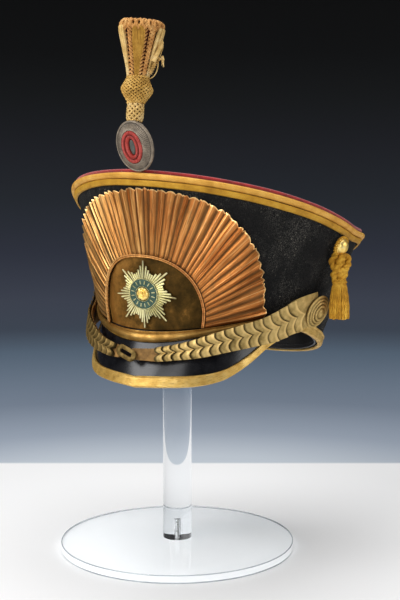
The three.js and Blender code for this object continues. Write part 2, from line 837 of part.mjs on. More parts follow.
// Plume pieces are turned about the plume's axis, with heights along it.
const PLUME_PARTS = [
  {
    name: 'plume_neck',
    rows: [[0, 0], [3.4, 0.3], [5.3, 2.2], [5.7, 5], [5.6, 11.8], [4.8, 12.4], [0, 12.4]],
  },
  {
    name: 'plume_knot',
    rows: [[0, 12.8], [5.4, 12.8], [6.8, 14], [11.2, 20.2], [11.4, 22], [7.9, 29.8], [0, 30.2]],
  },
  {
    name: 'plume_bundle',
    rows: [[0, 30.6], [6.8, 30.6], [9.2, 40.6], [12.4, 52.8], [15.4, 64], [15.8, 67.8], [13, 69], [0, 69.1]],
  },
];

// Plain pin behind the cockade, from the crown's top disc to the plume's neck.
function plumePin(hatToWorld) {
  const foot = wall(0, TOP_DISC_HEIGHT + TOP_DISC_THICKNESS + 2.5 * GAP, -9).applyMatrix4(hatToWorld);
  const head = PLUME_FOOT.clone().addScaledVector(plumeAxis, -2 * GAP);
  const shoulder = new THREE.Vector3(head.x - 0.6, foot.y - 3, foot.z + 14);
  const curve = new THREE.CatmullRomCurve3([foot, shoulder, head]);
  const shape = new THREE.Shape();
  shape.absarc(0, 0, PIN_RADIUS, 0, 2 * Math.PI);
  return new THREE.ExtrudeGeometry(shape, {
    steps: 8,
    curveSegments: 4,
    extrudePath: curve,
    bevelEnabled: false,
  });
}

// ---- Side cord --------------------------------------------------------------

function cordBoss() {
  return turned([
    [0, 0], [5.2, 0], [5.2, 1.6], [7.6, 1.8], [7.6, 3.2], [6.2, 4.0], [5.6, 5.8], [3.2, 7.2], [0, 7.7],
  ], 16);
}

function cordKnot() {
  return turned([
    [0, 238.6], [3.4, 238.4], [5.6, 236], [8.2, 231], [8.0, 226], [5.6, 222], [4.6, 219.4], [0, 219.2],
  ], 16);
}

function cordTassel() {
  return turned([
    [0, 218.8], [4.4, 218.6], [5.2, 216], [6.4, 211], [7.6, 203], [7.8, 193], [7.2, 190.6], [0, 190.6],
  ], 16);
}

// ---- Stand ------------------------------------------------------------------

const boreRadius = STUD_RADIUS + STUD_CLEARANCE;

function standBase() {
  return turned([
    [0, 0],
    [BASE_RADIUS - 0.4, 0],
    [BASE_RADIUS, 0.4],
    [BASE_RADIUS, BASE_THICKNESS - 0.4],
    [BASE_RADIUS - 0.4, BASE_THICKNESS],
    [boreRadius, BASE_THICKNESS],
    [boreRadius, STUD_BOTTOM],
    [0, STUD_BOTTOM],
  ], 48);
}

function standPost(crownUnderside, crownNormal) {
  const reach = crownNormal.dot(crownUnderside) - POST_DOME_RADIUS - GAP;
  const domeCentre = reach / crownNormal.z;
  const low = BASE_THICKNESS + GAP;
  const domeEdge = Math.asin(POST_RADIUS / POST_DOME_RADIUS);
  const dome = steps(domeEdge, 0, 5).map((bend) => [
    POST_DOME_RADIUS * Math.sin(bend),
    domeCentre + POST_DOME_RADIUS * Math.cos(bend),
  ]);
  return turned([
    [0, STUD_TOP + STUD_CLEARANCE],
    [boreRadius, STUD_TOP + STUD_CLEARANCE],
    [boreRadius, low],
    [POST_RADIUS, low],
    ...dome,
  ], 24);
}

function standStud() {
  return turned([
    [0, STUD_BOTTOM + STUD_CLEARANCE],
    [STUD_RADIUS, STUD_BOTTOM + STUD_CLEARANCE],
    [STUD_RADIUS, STUD_TOP],
    [0, STUD_TOP],
  ], 12);
}

// ---- Assembly ---------------------------------------------------------------

const shako = new THREE.Group();
const hat = new THREE.Group();
hat.rotation.set(-HAT_BACK_TILT, HAT_SIDE_TILT, 0, 'YXZ');
hat.position.copy(HAT_PLACE);
shako.add(hat);
hat.updateMatrixWorld(true);

function addPiece(parent, name, geometry, material) {
  const mesh = new THREE.Mesh(geometry, material);
  mesh.name = name;
  parent.add(mesh);
  return mesh;
}

// Turns a piece built along +Z so that it stands out from the crown at an angle.
function standOut(mesh, angle, height, offset) {
  const foot = wall(angle, height, offset);
  const side = wall(angle + 1, height, offset).sub(wall(angle - 1, height, offset));
  const rise = wall(angle, height + 1, offset).sub(wall(angle, height - 1, offset));
  const out = new THREE.Vector3().crossVectors(side, rise).normalize();
  mesh.position.copy(foot);
  mesh.quaternion.setFromUnitVectors(new THREE.Vector3(0, 0, 1), out);
}

addPiece(hat, 'crown_shell', crownShell(), FELT);
addPiece(hat, 'crown_top', crownTop(), BLACK_LEATHER);
addPiece(hat, 'sweatband', sweatband(), BLACK_LEATHER);
addPiece(hat, 'rim_piping', rimPiping(), RED_CLOTH);
addPiece(hat, 'rim_roll', rimRoll(), GOLD_LACE);
addPiece(hat, 'lace_band', laceBand(), GOLD_LACE);
addPiece(hat, 'lower_binding', lowerBinding(), GILT_LEATHER);
addPiece(hat, 'visor', visor(), PATENT);
addPiece(hat, 'visor_rim', visorRim(), GILT_LEATHER);
addPiece(hat, 'fan_plate', fanPlate(), COPPER_GILT);
addPiece(hat, 'arch_plate', archPlate(), OLD_BRASS);
addPiece(hat, 'arch_rim', archRim(), OLD_BRASS);
addPiece(hat, 'base_bar', baseBar(), COPPER_GILT);
addPiece(hat, 'star_rays', starRays(), STAR_SILVER);
addPiece(hat, 'star_ring', starRing(), GREEN_ENAMEL);
addPiece(hat, 'star_centre', starCentre(), GOLD);

const marks = scaleMarks();
for (const [word, side] of [['left', 1], ['right', -1]]) {
  const leatherEnd = side > 0 ? 1 : 0.9;
  addPiece(hat, `strap_${word}`, strapLeather(side, leatherEnd), BROWN_LEATHER);
  for (let i = 0; i < SCALES_APART; i += 1) {
    const number = String(i + 1).padStart(2, '0');
    addPiece(hat, `scale_${word}_${number}`, oneScale(side, marks[i], marks[i + 1]), SCALE_BRASS);
  }
  addPiece(hat, `scales_${word}_front`, frontScales(side, marks.slice(SCALES_APART)), SCALE_BRASS);
  const boss = addPiece(hat, `rosette_${word}`, rosette(), SCALE_BRASS);
  standOut(boss, side * STRAP_ROUTE[0].angle, STRAP_ROUTE[0].height, GAP);
}
addPiece(hat, 'strap_loop', strapLoop(), SCALE_BRASS);

addPiece(shako, 'cockade_disc', cockadeDisc(), GREY_SILVER);
addPiece(shako, 'cockade_ring', cockadeRing(), COCKADE_RED);
addPiece(shako, 'cockade_core', cockadeCore(), DARK_GREEN);
addPiece(shako, 'plume_pin', plumePin(hat.matrixWorld), STEEL);
for (const part of PLUME_PARTS) {
  const mesh = addPiece(shako, part.name, turned(part.rows, 16), GOLD_CORD);
  mesh.position.copy(PLUME_FOOT);
  mesh.quaternion.copy(plumeTurn);
}

const cordButton = addPiece(hat, 'cord_boss', cordBoss(), GOLD);
standOut(cordButton, BOSS_ANGLE, BOSS_HEIGHT, 2.6);
for (const [name, geometry] of [['cord_knot', cordKnot()], ['cord_tassel', cordTassel()]]) {
  const mesh = addPiece(shako, name, geometry, GOLD_CORD);
  mesh.position.copy(CORD_PLACE);
}

const crownNormal = new THREE.Vector3(0, 0, 1).transformDirection(hat.matrixWorld);
const crownUnderside = new THREE.Vector3(0, 0, TOP_DISC_HEIGHT).applyMatrix4(hat.matrixWorld);
addPiece(shako, 'stand_base', standBase(), CLEAR_ACRYLIC);
addPiece(shako, 'stand_post', standPost(crownUnderside, crownNormal), CLEAR_ACRYLIC);
addPiece(shako, 'stand_stud', standStud(), STEEL);

export default shako;
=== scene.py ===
import math

import bpy
import numpy as np
from mathutils import Matrix, Vector


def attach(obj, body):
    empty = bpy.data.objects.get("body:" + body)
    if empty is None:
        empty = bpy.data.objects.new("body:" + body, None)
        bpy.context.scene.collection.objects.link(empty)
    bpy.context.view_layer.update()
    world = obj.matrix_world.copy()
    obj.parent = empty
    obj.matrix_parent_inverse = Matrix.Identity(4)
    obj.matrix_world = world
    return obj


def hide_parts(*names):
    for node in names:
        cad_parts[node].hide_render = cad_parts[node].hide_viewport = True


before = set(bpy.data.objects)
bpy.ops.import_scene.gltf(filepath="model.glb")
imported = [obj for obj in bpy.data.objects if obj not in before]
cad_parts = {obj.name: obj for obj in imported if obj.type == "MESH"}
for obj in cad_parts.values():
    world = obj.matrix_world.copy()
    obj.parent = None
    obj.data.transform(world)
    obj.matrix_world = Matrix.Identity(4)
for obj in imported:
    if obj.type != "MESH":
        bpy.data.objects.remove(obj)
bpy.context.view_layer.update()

MM = 0.001
DEG = math.pi / 180
TAU = 2 * math.pi

# ---- Driving dimensions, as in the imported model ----

BASE_RADIUS = 95
BASE_THICKNESS = 6.5
POST_RADIUS = 11.75
POST_DOME_RADIUS = 20
STUD_RADIUS = 1.6
STUD_BOTTOM = 2
STUD_TOP = 22
STUD_CLEARANCE = 0.3
GAP = 0.35

HAT_PLACE = np.array([22.7, 22.05, 182.0])
HAT_BACK_TILT = 16.65 * DEG
HAT_SIDE_TILT = 2.17 * DEG

HEAD_HALF = {"length": 104.4, "width": 84.35}
TOP_HALF = {"front": 131.5, "back": 106, "width": 114.1}
TOP_FORWARD_SHIFT = 21
CROWN_HEIGHT = 82
FRONT_DIP = 27
FRONT_DIP_REACH = 90
FELT_THICKNESS = 3
RIM = {"height": 83.3, "sag": 4.3, "angle": 15, "sharpness": 6, "rise": 7, "from": 90, "to": 118}
PIPING_RADIUS = 1.3
TOP_DISC_HEIGHT = 72
TOP_DISC_THICKNESS = 3
SWEATBAND_WIDTH = 28

PLATE = {"left": 92, "right": 92, "centre": 5, "rise": 61.2, "square": 3, "droop": 0.02}
PLATE_MM_PER_DEGREE = {"low": 1.58, "gain": 0.52, "from": -10}
PLATE_FOOT = {"drop": 27.6, "rate": 1.52}
PLEATS = 46
PLEAT_DEPTH = 2.2
ARCH = {"left": 46.5, "right": 36.5, "centre": -15, "rise": 37.5, "square": 2.6}
TURN_LIMIT = 98
BAR_END_ANGLE = 58
BAR_DEPTH = {"ends": 3, "extra": 5, "rate": 1.5}

STAR_HEIGHT = -4
STAR_ANGLE = 2.1
STAR_REACH = 24
STAR_POINTS = 8
STAR_MM_PER_DEGREE = 1.6
STAR_SLOPE = 0.95
STAR_ROOT = 10.9

# Visor edge, by angle from the front: height of the edge and flare off the crown
VISOR_EDGE = np.array([
    # angle, height, flare
    (0, -69.5, 1.7),
    (15, -66.8, 1.0),
    (30, -62.1, 0.6),
    (42, -54.0, 0.6),
    (52, -40.0, 0.7),
    (62, -21.7, 0.9),
    (72, -8.6, 1.6),
    (79, -4.0, 2.0),
])
VISOR_OUTSIDE = -0.5
VISOR_THICKNESS = 2.4
VISOR_RIM_WIDTH = 8

# Chin-scale strap, from the rosette forward: centre line on the wall and half width
STRAP_ROUTE = np.array([
    # angle, height, half
    (81.8, 15.8, 11.6),
    (75.6, 10.0, 11.4),
    (71.0, 5.0, 11.2),
    (66.0, -1.4, 10.4),
    (59.3, -9.9, 9.6),
    (53.8, -15.1, 8.9),
    (45.0, -22.6, 8.2),
    (37.0, -29.2, 7.6),
    (30.5, -34.6, 7.0),
    (25.0, -38.5, 6.4),
    (18.5, -42.0, 5.6),
    (11.3, -45.0, 5.2),
    (5.0, -46.0, 4.8),
    (-1.6, -46.6, 4.5),
])
STRAP_MM_PER_DEGREE = 1.62
STRAP_STANDOFF = 5.2
STRAP_THICKNESS = 1.2
STRAP_START = 0.075
STRAP_SOFTNESS = 0.12
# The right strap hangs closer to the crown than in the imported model
RIGHT_BULGE = {"out": -2.6, "angle": 66, "spread": 10, "lift": 1.6}
SCALES = 16
SCALES_APART = 12
SCALE_SPAN = {"start": 0.135, "end": 0.87}
SCALE_SHRINK = 0.74
SCALE_THICKNESS = 1.0
SCALE_LIFT = 1.9
SCALE_OVERLAP = 0.14
ROSETTE_RADIUS = 13.2
LOOP = {"across": -5.5, "height": -46.6, "lean": -0.35}

COCKADE_FOOT = np.array([31.9, -103.5, 299.2])
COCKADE_TOP = np.array([28.8, -113.8, 333.8])
COCKADE_HALF_WIDTH = 14.9
PLUME_FOOT = np.array([30.2, -109.0, 333.4])
PLUME_TOP = np.array([37.2, -109.0, 402.0])

BOSS_ANGLE = 84
BOSS_HEIGHT = 63.2
BOSS_STANDOFF = 2.6
CORD_PLACE = np.array([135.2, 12.6, 0.0])

VIEW_AZIMUTH = 29.24 * DEG


# ---- Meshes from rows of sections ----

class Solid:
    """Vertices (mm), quads, each corner's place along and around (mm), and shade per vertex."""

    def __init__(self, points, quads, flow, shade):
        self.points = points
        self.quads = quads
        self.flow = flow
        self.shade = shade


def loft(rings, looped=False, shade=None):
    """Closed solid through a row of closed sections; a looped row joins its ends."""
    rings = np.asarray(rings, float)
    rows, size = rings.shape[:2]
    spans = rows if looped else rows - 1
    i, j = np.meshgrid(np.arange(spans), np.arange(size), indexing="ij")
    i2, j2 = (i + 1) % rows, (j + 1) % size
    quads = np.stack([i * size + j, i * size + j2, i2 * size + j2, i2 * size + j], -1)
    lengths = np.linalg.norm(rings - np.roll(rings, -1, 0), axis=2).mean(1)[:spans]
    along = np.concatenate([[0], np.cumsum(lengths)])
    widths = np.linalg.norm(rings - np.roll(rings, -1, 1), axis=2).mean(0)
    around = np.concatenate([[0], np.cumsum(widths)])
    corners = [(i, j), (i, j + 1), (i + 1, j + 1), (i + 1, j)]
    flow = np.stack([np.stack([along[a], around[b]], -1) for a, b in corners], 2)
    quads, flow = quads.reshape(-1, 4), flow.reshape(-1, 4, 2)
    if not looped:
        k = np.arange(size // 2 - 1)
        cap = np.stack([k, k + 1, size - 2 - k, size - 1 - k], -1)
        ends = np.concatenate([cap[:, ::-1], cap + (rows - 1) * size])
        end_flow = np.stack([np.where(ends < size, 0, along[-1]), around[ends % size]], -1)
        quads = np.concatenate([quads, ends])
        flow = np.concatenate([flow, end_flow])
    points = rings.reshape(-1, 3)
    a, b, c, d = (points[quads[:, n]] for n in range(4))
    volume = (np.cross(b, c) * a).sum() + (np.cross(c, d) * a).sum()
    if volume < 0:
        quads, flow = quads[:, ::-1], flow[:, ::-1]
    shade = np.zeros(rows * size) if shade is None else np.broadcast_to(shade, (rows, size)).ravel()
    return Solid(points, quads, flow, shade)


def joined(solids):
    """Several solids as one."""
    solids = list(solids)
    starts = np.cumsum([0] + [len(s.points) for s in solids])
    return Solid(
        np.concatenate([s.points for s in solids]),
        np.concatenate([s.quads + start for s, start in zip(solids, starts)]),
        np.concatenate([s.flow for s in solids]),
        np.concatenate([s.shade for s in solids]),
    )


def sheet(outside, inside, looped=False, shade=None):
    """Solid between two grids of points, row by row."""
    rings = np.concatenate([outside, inside[:, ::-1]], 1)
    if shade is not None:
        shade = np.concatenate([shade, shade[:, ::-1]], 1)
    return loft(rings, looped, shade)


def turned(rows, sides, shade=None):
    """Turned solid about Z from rows of radius and height; the ends are closed flat."""
    rows = np.asarray(rows, float)
    rings = polar(rows[:, :1], turns_of(sides), rows[:, 1:2])
    return loft(rings, shade=None if shade is None else np.asarray(shade)[:, None])


def unit(vectors):
    return vectors / np.linalg.norm(vectors, axis=-1, keepdims=True)


def turns_of(count):
    """Even turns (radians) once round."""
    return np.arange(count) * TAU / count


def polar(radius, turn, height):
    """Points by distance from the Z axis, turn and height."""
    return np.stack(np.broadcast_arrays(radius * np.cos(turn), radius * np.sin(turn), height), -1)


def tube(path, radius, sides=8, looped=False, twist=0.0, strands=1, spread=0.0, squash=1.0):
    """Round strands along a path; twist (turns per mm) winds several round each other."""
    path = np.asarray(path, float)
    if looped:
        tangent = unit(np.roll(path, -1, 0) - np.roll(path, 1, 0))
    else:
        tangent = unit(np.gradient(path, axis=0))
    lengths = np.linalg.norm(np.diff(path, axis=0), axis=1)
    along = np.concatenate([[0], np.cumsum(lengths)])
    across = [np.cross(tangent[0], [0.31, 0.17, 0.94])]
    for t in tangent[1:]:
        across.append(across[-1] - np.dot(across[-1], t) * t)
    across = unit(np.array(across))
    over = np.cross(tangent, across)
    radius = np.broadcast_to(radius, len(path))
    if looped:
        whole = along[-1] + np.linalg.norm(path[0] - path[-1])
        drift = math.atan2(np.dot(across[-1], over[0]), np.dot(across[-1], across[0]))
        back = (-drift * along / whole)[:, None]
        across, over = (np.cos(back) * across + np.sin(back) * over,
                        np.cos(back) * over - np.sin(back) * across)
        twist = round(whole * twist) / whole
    wound = along * twist
    turn = turns_of(sides)
    solids = []
    for strand in range(strands):
        phase = (wound * TAU + strand * TAU / strands)[:, None]
        centre = path + spread * radius[:, None] * (np.cos(phase) * across + np.sin(phase) * over)
        ring = np.cos(turn)[None, :, None] * across[:, None] * squash
        ring = ring + np.sin(turn)[None, :, None] * over[:, None]
        solids.append(loft(centre[:, None] + ring * radius[:, None, None], looped))
    return joined(solids)


def smooth_path(points, count):
    """Even points on a smooth curve through a few points."""
    points = np.asarray(points, float)
    first, last = 2 * points[0] - points[1], 2 * points[-1] - points[-2]
    padded = np.concatenate([[first], points, [last]])
    dense = []
    for k in range(len(padded) - 3):
        p0, p1, p2, p3 = padded[k:k + 4]
        for t in np.linspace(0, 1, 24, endpoint=False):
            dense.append(0.5 * (2 * p1 + (p2 - p0) * t + (2 * p0 - 5 * p1 + 4 * p2 - p3) * t * t
                                + (3 * p1 - p0 - 3 * p2 + p3) * t ** 3))
    dense.append(padded[-2])
    dense = np.array(dense)
    length = np.concatenate([[0], np.cumsum(np.linalg.norm(np.diff(dense, axis=0), axis=1))])
    even = np.linspace(0, length[-1], count)
    return np.stack([np.interp(even, length, dense[:, k]) for k in range(dense.shape[1])], -1)


def bend(points, matrix):
    """Points turned and moved by a 4 by 4 matrix."""
    turn, move = matrix[:3, :3], matrix[:3, 3]
    return points @ turn.T + move


def placed(solid, matrix):
    return Solid(bend(solid.points, matrix), solid.quads, solid.flow, solid.shade)


RIPPLE_WAVES = 9


def ripple(points, size, seed):
    """Smooth noise of about -1 to 1, from plane waves of about the given size (mm)."""
    random = np.random.default_rng(seed)
    total = 0
    for _ in range(RIPPLE_WAVES):
        direction = unit(random.normal(size=3))
        rate = TAU / (size * random.uniform(0.7, 1.6))
        total = total + np.sin(points @ direction * rate + random.uniform(0, TAU))
    return total / math.sqrt(RIPPLE_WAVES)


def ease(values, low, high):
    part = np.clip((values - low) / (high - low), 0, 1)
    return part * part * (3 - 2 * part)


def arc(centre, radii, start, end, count):
    """Points on an elliptic arc, from and to angles in degrees."""
    turn = np.linspace(start, end, count) * DEG
    return np.stack([centre[0] + radii[0] * np.cos(turn), centre[1] + radii[1] * np.sin(turn)], -1)


# ---- The hat's frame and the crown's surface ----

def turn_matrix(rotation, place):
    matrix = np.eye(4)
    matrix[:3, :3] = np.array(rotation)
    matrix[:3, 3] = place
    return matrix


HAT = turn_matrix(
    Matrix.Rotation(HAT_SIDE_TILT, 3, "Y") @ Matrix.Rotation(-HAT_BACK_TILT, 3, "X"), HAT_PLACE
)


def foot_height(angle):
    """Height of the crown's lower edge, dipping at the front."""
    dip = 0.5 + 0.5 * np.cos(np.pi * np.minimum(np.abs(angle), FRONT_DIP_REACH) / FRONT_DIP_REACH)
    return -FRONT_DIP * dip


def rim_height(angle):
    """Height of the crown's top edge."""
    sag = 0.5 + 0.5 * np.cos((angle - RIM["angle"]) * DEG)
    back = RIM["rise"] * ease(np.abs(angle), RIM["from"], RIM["to"])
    return RIM["height"] - RIM["sag"] * sag ** RIM["sharpness"] + back


def wall(angle, height, offset, softness=0.0):
    """Point at an angle from the front (degrees), a height and an offset off the crown."""
    angle, height, offset = np.broadcast_arrays(angle, height, offset)
    foot = foot_height(angle)
    above = (height - foot) / (CROWN_HEIGHT - foot)
    part = (above + np.sqrt(above * above + softness * softness)) / 2
    top_half = np.where((np.abs(angle) > 90) & (np.abs(angle) < 270), TOP_HALF["back"], TOP_HALF["front"])
    half_length = HEAD_HALF["length"] + part * (top_half - HEAD_HALF["length"]) + offset
    half_width = HEAD_HALF["width"] + part * (TOP_HALF["width"] - HEAD_HALF["width"]) + offset
    x = half_width * np.sin(angle * DEG)
    y = -part * TOP_FORWARD_SHIFT - half_length * np.cos(angle * DEG)
    return np.stack([x, y, height], -1)


ALL_ROUND = np.linspace(-180, 180, 360, endpoint=False)[:, None]


def ring_band(section, height_at, looseness, seed):
    """A band of one section (offset, rise) carried all round the crown."""
    section = np.asarray(section, float)
    loose = looseness * ripple(wall(ALL_ROUND, height_at(ALL_ROUND), 0), 45, seed)
    rings = wall(ALL_ROUND, height_at(ALL_ROUND) + section[:, 1] + loose, section[:, 0] + loose)
    return loft(rings, looped=True)


def stand_out(angle, height, offset):
    """Matrix of a piece that stands out from the crown, in the hat's frame."""
    foot = wall(angle, height, offset)
    side = wall(angle + 1, height, offset) - wall(angle - 1, height, offset)
    rise = wall(angle, height + 1, offset) - wall(angle, height - 1, offset)
    out = Vector(unit(np.cross(side, rise)))
    return turn_matrix(Vector((0, 0, 1)).rotation_difference(out).to_matrix(), foot)


# ---- Making objects ----

def make(name, solid, finish, slot, *nodes, frame_of=None, sharp=35):
    """Object of a solid that rides on the root and stands for the given CAD nodes."""
    if frame_of is not None:
        solid = placed(solid, frame_of)
    mesh = bpy.data.meshes.new(name)
    mesh.from_pydata((solid.points * MM).tolist(), [], solid.quads.tolist())
    flow = mesh.uv_layers.new(name="Flow", do_init=False)
    flow.uv.foreach_set("vector", solid.flow.astype(np.float32).ravel())
    shade = mesh.attributes.new("Shade", "FLOAT", "POINT")
    shade.data.foreach_set("value", solid.shade.astype(np.float32))
    mesh.set_sharp_from_angle(angle=sharp * DEG)
    mesh.materials.append(finish)
    piece = bpy.data.objects.new(name, mesh)
    bpy.context.scene.collection.objects.link(piece)
    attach(piece, "root")
    if nodes:
        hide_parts(*nodes)
    return piece


# ---- Finishes ----

class Finish:
    """One node material, built up from small steps."""

    def __init__(self, name, **sockets):
        self.material = bpy.data.materials.new(name)
        self.material.use_nodes = True
        self.tree = self.material.node_tree
        self.shader = self.tree.nodes["Principled BSDF"]
        for key, value in sockets.items():
            self.shader.inputs[key.replace("_", " ")].default_value = value
        self.height = None

    def tinted(self, colour):
        """Colours the highlights of a gold or brass surface, even at a slant."""
        self.shader.inputs["Specular Tint"].default_value = (*colour, 1)
        return self

    def node(self, kind, out=0, links=None, values=None, **settings):
        made = self.tree.nodes.new("ShaderNode" + kind)
        for key, value in settings.items():
            setattr(made, key, value)
        for key, value in (values or {}).items():
            made.inputs[key].default_value = value
        for key, source in (links or {}).items():
            self.tree.links.new(source, made.inputs[key])
        return made.outputs[out]

    def place(self, *scale):
        """Object coordinates in mm, stretched by the given numbers."""
        coords = self.node("TexCoord", out="Object")
        size = tuple(1000 * s for s in scale) if scale else (1000, 1000, 1000)
        return self.node("Mapping", links={"Vector": coords}, values={"Scale": size})

    def flow(self, along=1.0, around=1.0, turn=0.0):
        """Coordinates in mm along and around a piece, turned and stretched."""
        coords = self.node("UVMap", uv_map="Flow")
        turned_flow = self.node("Mapping", links={"Vector": coords}, values={"Rotation": (0, 0, turn)})
        return self.node("Mapping", links={"Vector": turned_flow}, values={"Scale": (along, around, 1)})

    def shade(self):
        return self.node("Attribute", out="Fac", attribute_name="Shade")

    def leftward(self, start, end):
        """0 to 1 as the place goes from one X (mm) to another, towards the wearer's left."""
        sides = self.node("SeparateXYZ", links={"Vector": self.place()})
        return self.node("MapRange", links={"Value": sides}, values={"From Min": start, "From Max": end})

    def noise(self, vector, size, detail=3.0, roughness=0.55, distortion=0.0):
        values = {"Scale": 1 / size, "Detail": detail, "Roughness": roughness, "Distortion": distortion}
        return self.node("TexNoise", links={"Vector": vector}, values=values)

    def cells(self, vector, size):
        return self.node("TexVoronoi", out="Distance", links={"Vector": vector}, values={"Scale": 1 / size})

    def bands(self, vector, size):
        values = {"Scale": TAU / size / 20, "Detail": 1.0}
        return self.node("TexWave", out="Fac", links={"Vector": vector}, values=values)

    def ramp(self, fac, *stops):
        """Colours or greys at places along a number."""
        made = self.tree.nodes.new("ShaderNodeValToRGB")
        self.tree.links.new(fac, made.inputs[0])
        points = made.color_ramp.elements
        while len(points) < len(stops):
            points.new(0.5)
        for point, (place, colour) in zip(points, stops):
            point.position = place
            shown = (colour,) * 3 if isinstance(colour, (int, float)) else colour
            point.color = (*shown, 1)
        return made.outputs[0]

    def mix(self, fac, first, second, blend="MIX"):
        """Blend of two colours, each a link or a plain colour."""
        made = self.tree.nodes.new("ShaderNodeMix")
        made.data_type = "RGBA"
        made.blend_type = blend
        for socket, source in ((made.inputs[0], fac), (made.inputs[6], first), (made.inputs[7], second)):
            if isinstance(source, bpy.types.NodeSocket):
                self.tree.links.new(source, socket)
            elif isinstance(source, (int, float)):
                socket.default_value = source
            else:
                socket.default_value = (*source, 1)
        return made.outputs[2]

    def maths(self, operation, first, second=0.0, third=0.0):
        made = self.tree.nodes.new("ShaderNodeMath")
        made.operation = operation
        for socket, source in zip(made.inputs, (first, second, third)):
            if isinstance(source, bpy.types.NodeSocket):
                self.tree.links.new(source, socket)
            else:
                socket.default_value = source
        return made.outputs[0]

    def colour(self, source):
        self.tree.links.new(source, self.shader.inputs["Base Color"])
        return self

    def rough(self, source):
        self.tree.links.new(source, self.shader.inputs["Roughness"])
        return self

    def bump(self, height, depth, strength=1.0):
        """Adds relief of a depth in mm on top of any before it."""
        made = self.tree.nodes.new("ShaderNodeBump")
        made.inputs["Distance"].default_value = depth * MM
        made.inputs["Strength"].default_value = strength
        self.tree.links.new(height, made.inputs["Height"])
        if self.height is not None:
            self.tree.links.new(self.height, made.inputs["Normal"])
        self.height = made.outputs[0]
        self.tree.links.new(self.height, self.shader.inputs["Normal"])
        return self


def felt_finish():
    f = Finish("felt_black", Roughness=0.95, Specular_IOR_Level=0.15)
    fine = f.noise(f.place(), 0.9, 4)
    cloudy = f.noise(f.place(1, 1, 0.7), 24, 4, 0.6)
    base = f.ramp(fine, (0.3, (0.0025, 0.0025, 0.0028)), (0.75, (0.012, 0.0115, 0.011)))
    amount = f.ramp(cloudy, (0.4, 0.08), (0.64, 1.0))
    amount = f.maths("MULTIPLY", amount, f.maths("MULTIPLY_ADD", f.leftward(20, 110), 0.6, 0.6))
    haze = f.ramp(f.noise(f.place(), 2.4, 5, 0.7), (0.48, 0.0), (0.72, 0.5))
    colour = f.mix(f.maths("MULTIPLY", haze, amount), base, (0.085, 0.078, 0.066))
    dust = f.ramp(f.noise(f.place(), 0.6, 2), (0.56, 0.0), (0.68, 0.9))
    colour = f.mix(f.maths("MULTIPLY", dust, amount), colour, (0.14, 0.13, 0.11))
    flecks = f.ramp(f.cells(f.place(1, 1, 0.7), 3.4), (0.0, 1.0), (0.13, 0.0))
    colour = f.mix(f.maths("MULTIPLY", flecks, amount), colour, (0.42, 0.38, 0.30))
    f.colour(colour)
    f.bump(f.noise(f.place(), 0.8, 4), 0.5, 0.9)
    return f.bump(f.noise(f.place(), 5.5, 2), 1.2, 0.5).material


def black_leather_finish():
    f = Finish("leather_black", Roughness=0.42)
    grain = f.cells(f.place(), 1.1)
    worn = f.noise(f.place(), 16, 4)
    f.colour(f.ramp(worn, (0.35, (0.006, 0.005, 0.005)), (0.7, (0.022, 0.018, 0.015))))
    f.rough(f.ramp(worn, (0.3, 0.34), (0.75, 0.6)))
    return f.bump(grain, 0.16, 0.8).material


def patent_finish():
    f = Finish("patent_black", Coat_Weight=0.15, Coat_Roughness=0.2, Specular_IOR_Level=0.4)
    f.colour(f.ramp(f.noise(f.place(), 9, 4), (0.35, (0.003, 0.003, 0.004)), (0.75, (0.012, 0.012, 0.014))))
    scuffs = f.noise(f.place(1, 1, 3), 2.2, 5, 0.7)
    f.rough(f.ramp(scuffs, (0.36, 0.2), (0.74, 0.3)))
    return f.bump(f.noise(f.place(), 18, 2), 0.4, 0.25).material


LACE_THREAD = 0.8
CORD_THREAD = 0.55


def lace_finish(name, colours):
    """Woven metal lace: fine threads along the band with a slanting weave."""
    f = Finish(name, Roughness=0.5, Metallic=0.15, Specular_IOR_Level=0.3).tinted((1.0, 0.8, 0.5))
    soiled = f.noise(f.place(), 14, 5, 0.65)
    colour = f.ramp(soiled, (0.3, colours[0]), (0.5, colours[1]), (0.72, colours[2]))
    weave = f.bands(f.flow(turn=0.7), LACE_THREAD)
    cross = f.bands(f.flow(turn=-0.9), LACE_THREAD * 1.3)
    colour = f.mix(f.ramp(weave, (0.1, 0.35), (0.5, 0.0)), colour, colours[3], "MULTIPLY")
    f.colour(colour)
    f.rough(f.ramp(soiled, (0.3, 0.58), (0.7, 0.36)))
    f.bump(weave, 0.12, 0.7)
    return f.bump(cross, 0.08, 0.5).material


def red_cloth_finish():
    f = Finish("cloth_red", Roughness=0.9, Sheen_Weight=0.4)
    tone = f.noise(f.place(), 7, 4)
    colour = f.ramp(tone, (0.3, (0.20, 0.008, 0.010)), (0.7, (0.42, 0.022, 0.022)))
    lint = f.ramp(f.cells(f.place(), 2.6), (0.0, 1.0), (0.16, 0.0))
    colour = f.mix(f.maths("MULTIPLY", lint, 0.7), colour, (0.62, 0.42, 0.34))
    f.colour(colour)
    return f.bump(f.bands(f.flow(turn=0.9), 0.7), 0.14, 0.7).material


def gilt_leather_finish():
    f = Finish("leather_gilt", Roughness=0.36, Metallic=0.45).tinted((1.0, 0.76, 0.4))
    aged = f.noise(f.place(), 12, 5, 0.62)
    colour = f.ramp(aged, (0.3, (0.38, 0.21, 0.04)), (0.5, (0.60, 0.38, 0.10)), (0.72, (0.74, 0.53, 0.19)))
    creases = f.ramp(f.noise(f.flow(0.25, 1.6), 1.1, 3), (0.36, 1.0), (0.46, 0.0))
    f.colour(f.mix(f.maths("MULTIPLY", creases, 0.5), colour, (0.16, 0.08, 0.02)))
    f.rough(f.ramp(aged, (0.3, 0.5), (0.75, 0.26)))
    f.bump(f.noise(f.flow(0.3, 1.4), 1.2, 3), 0.12, 0.5)
    return f.bump(f.noise(f.place(), 6, 2), 0.5, 0.35).material


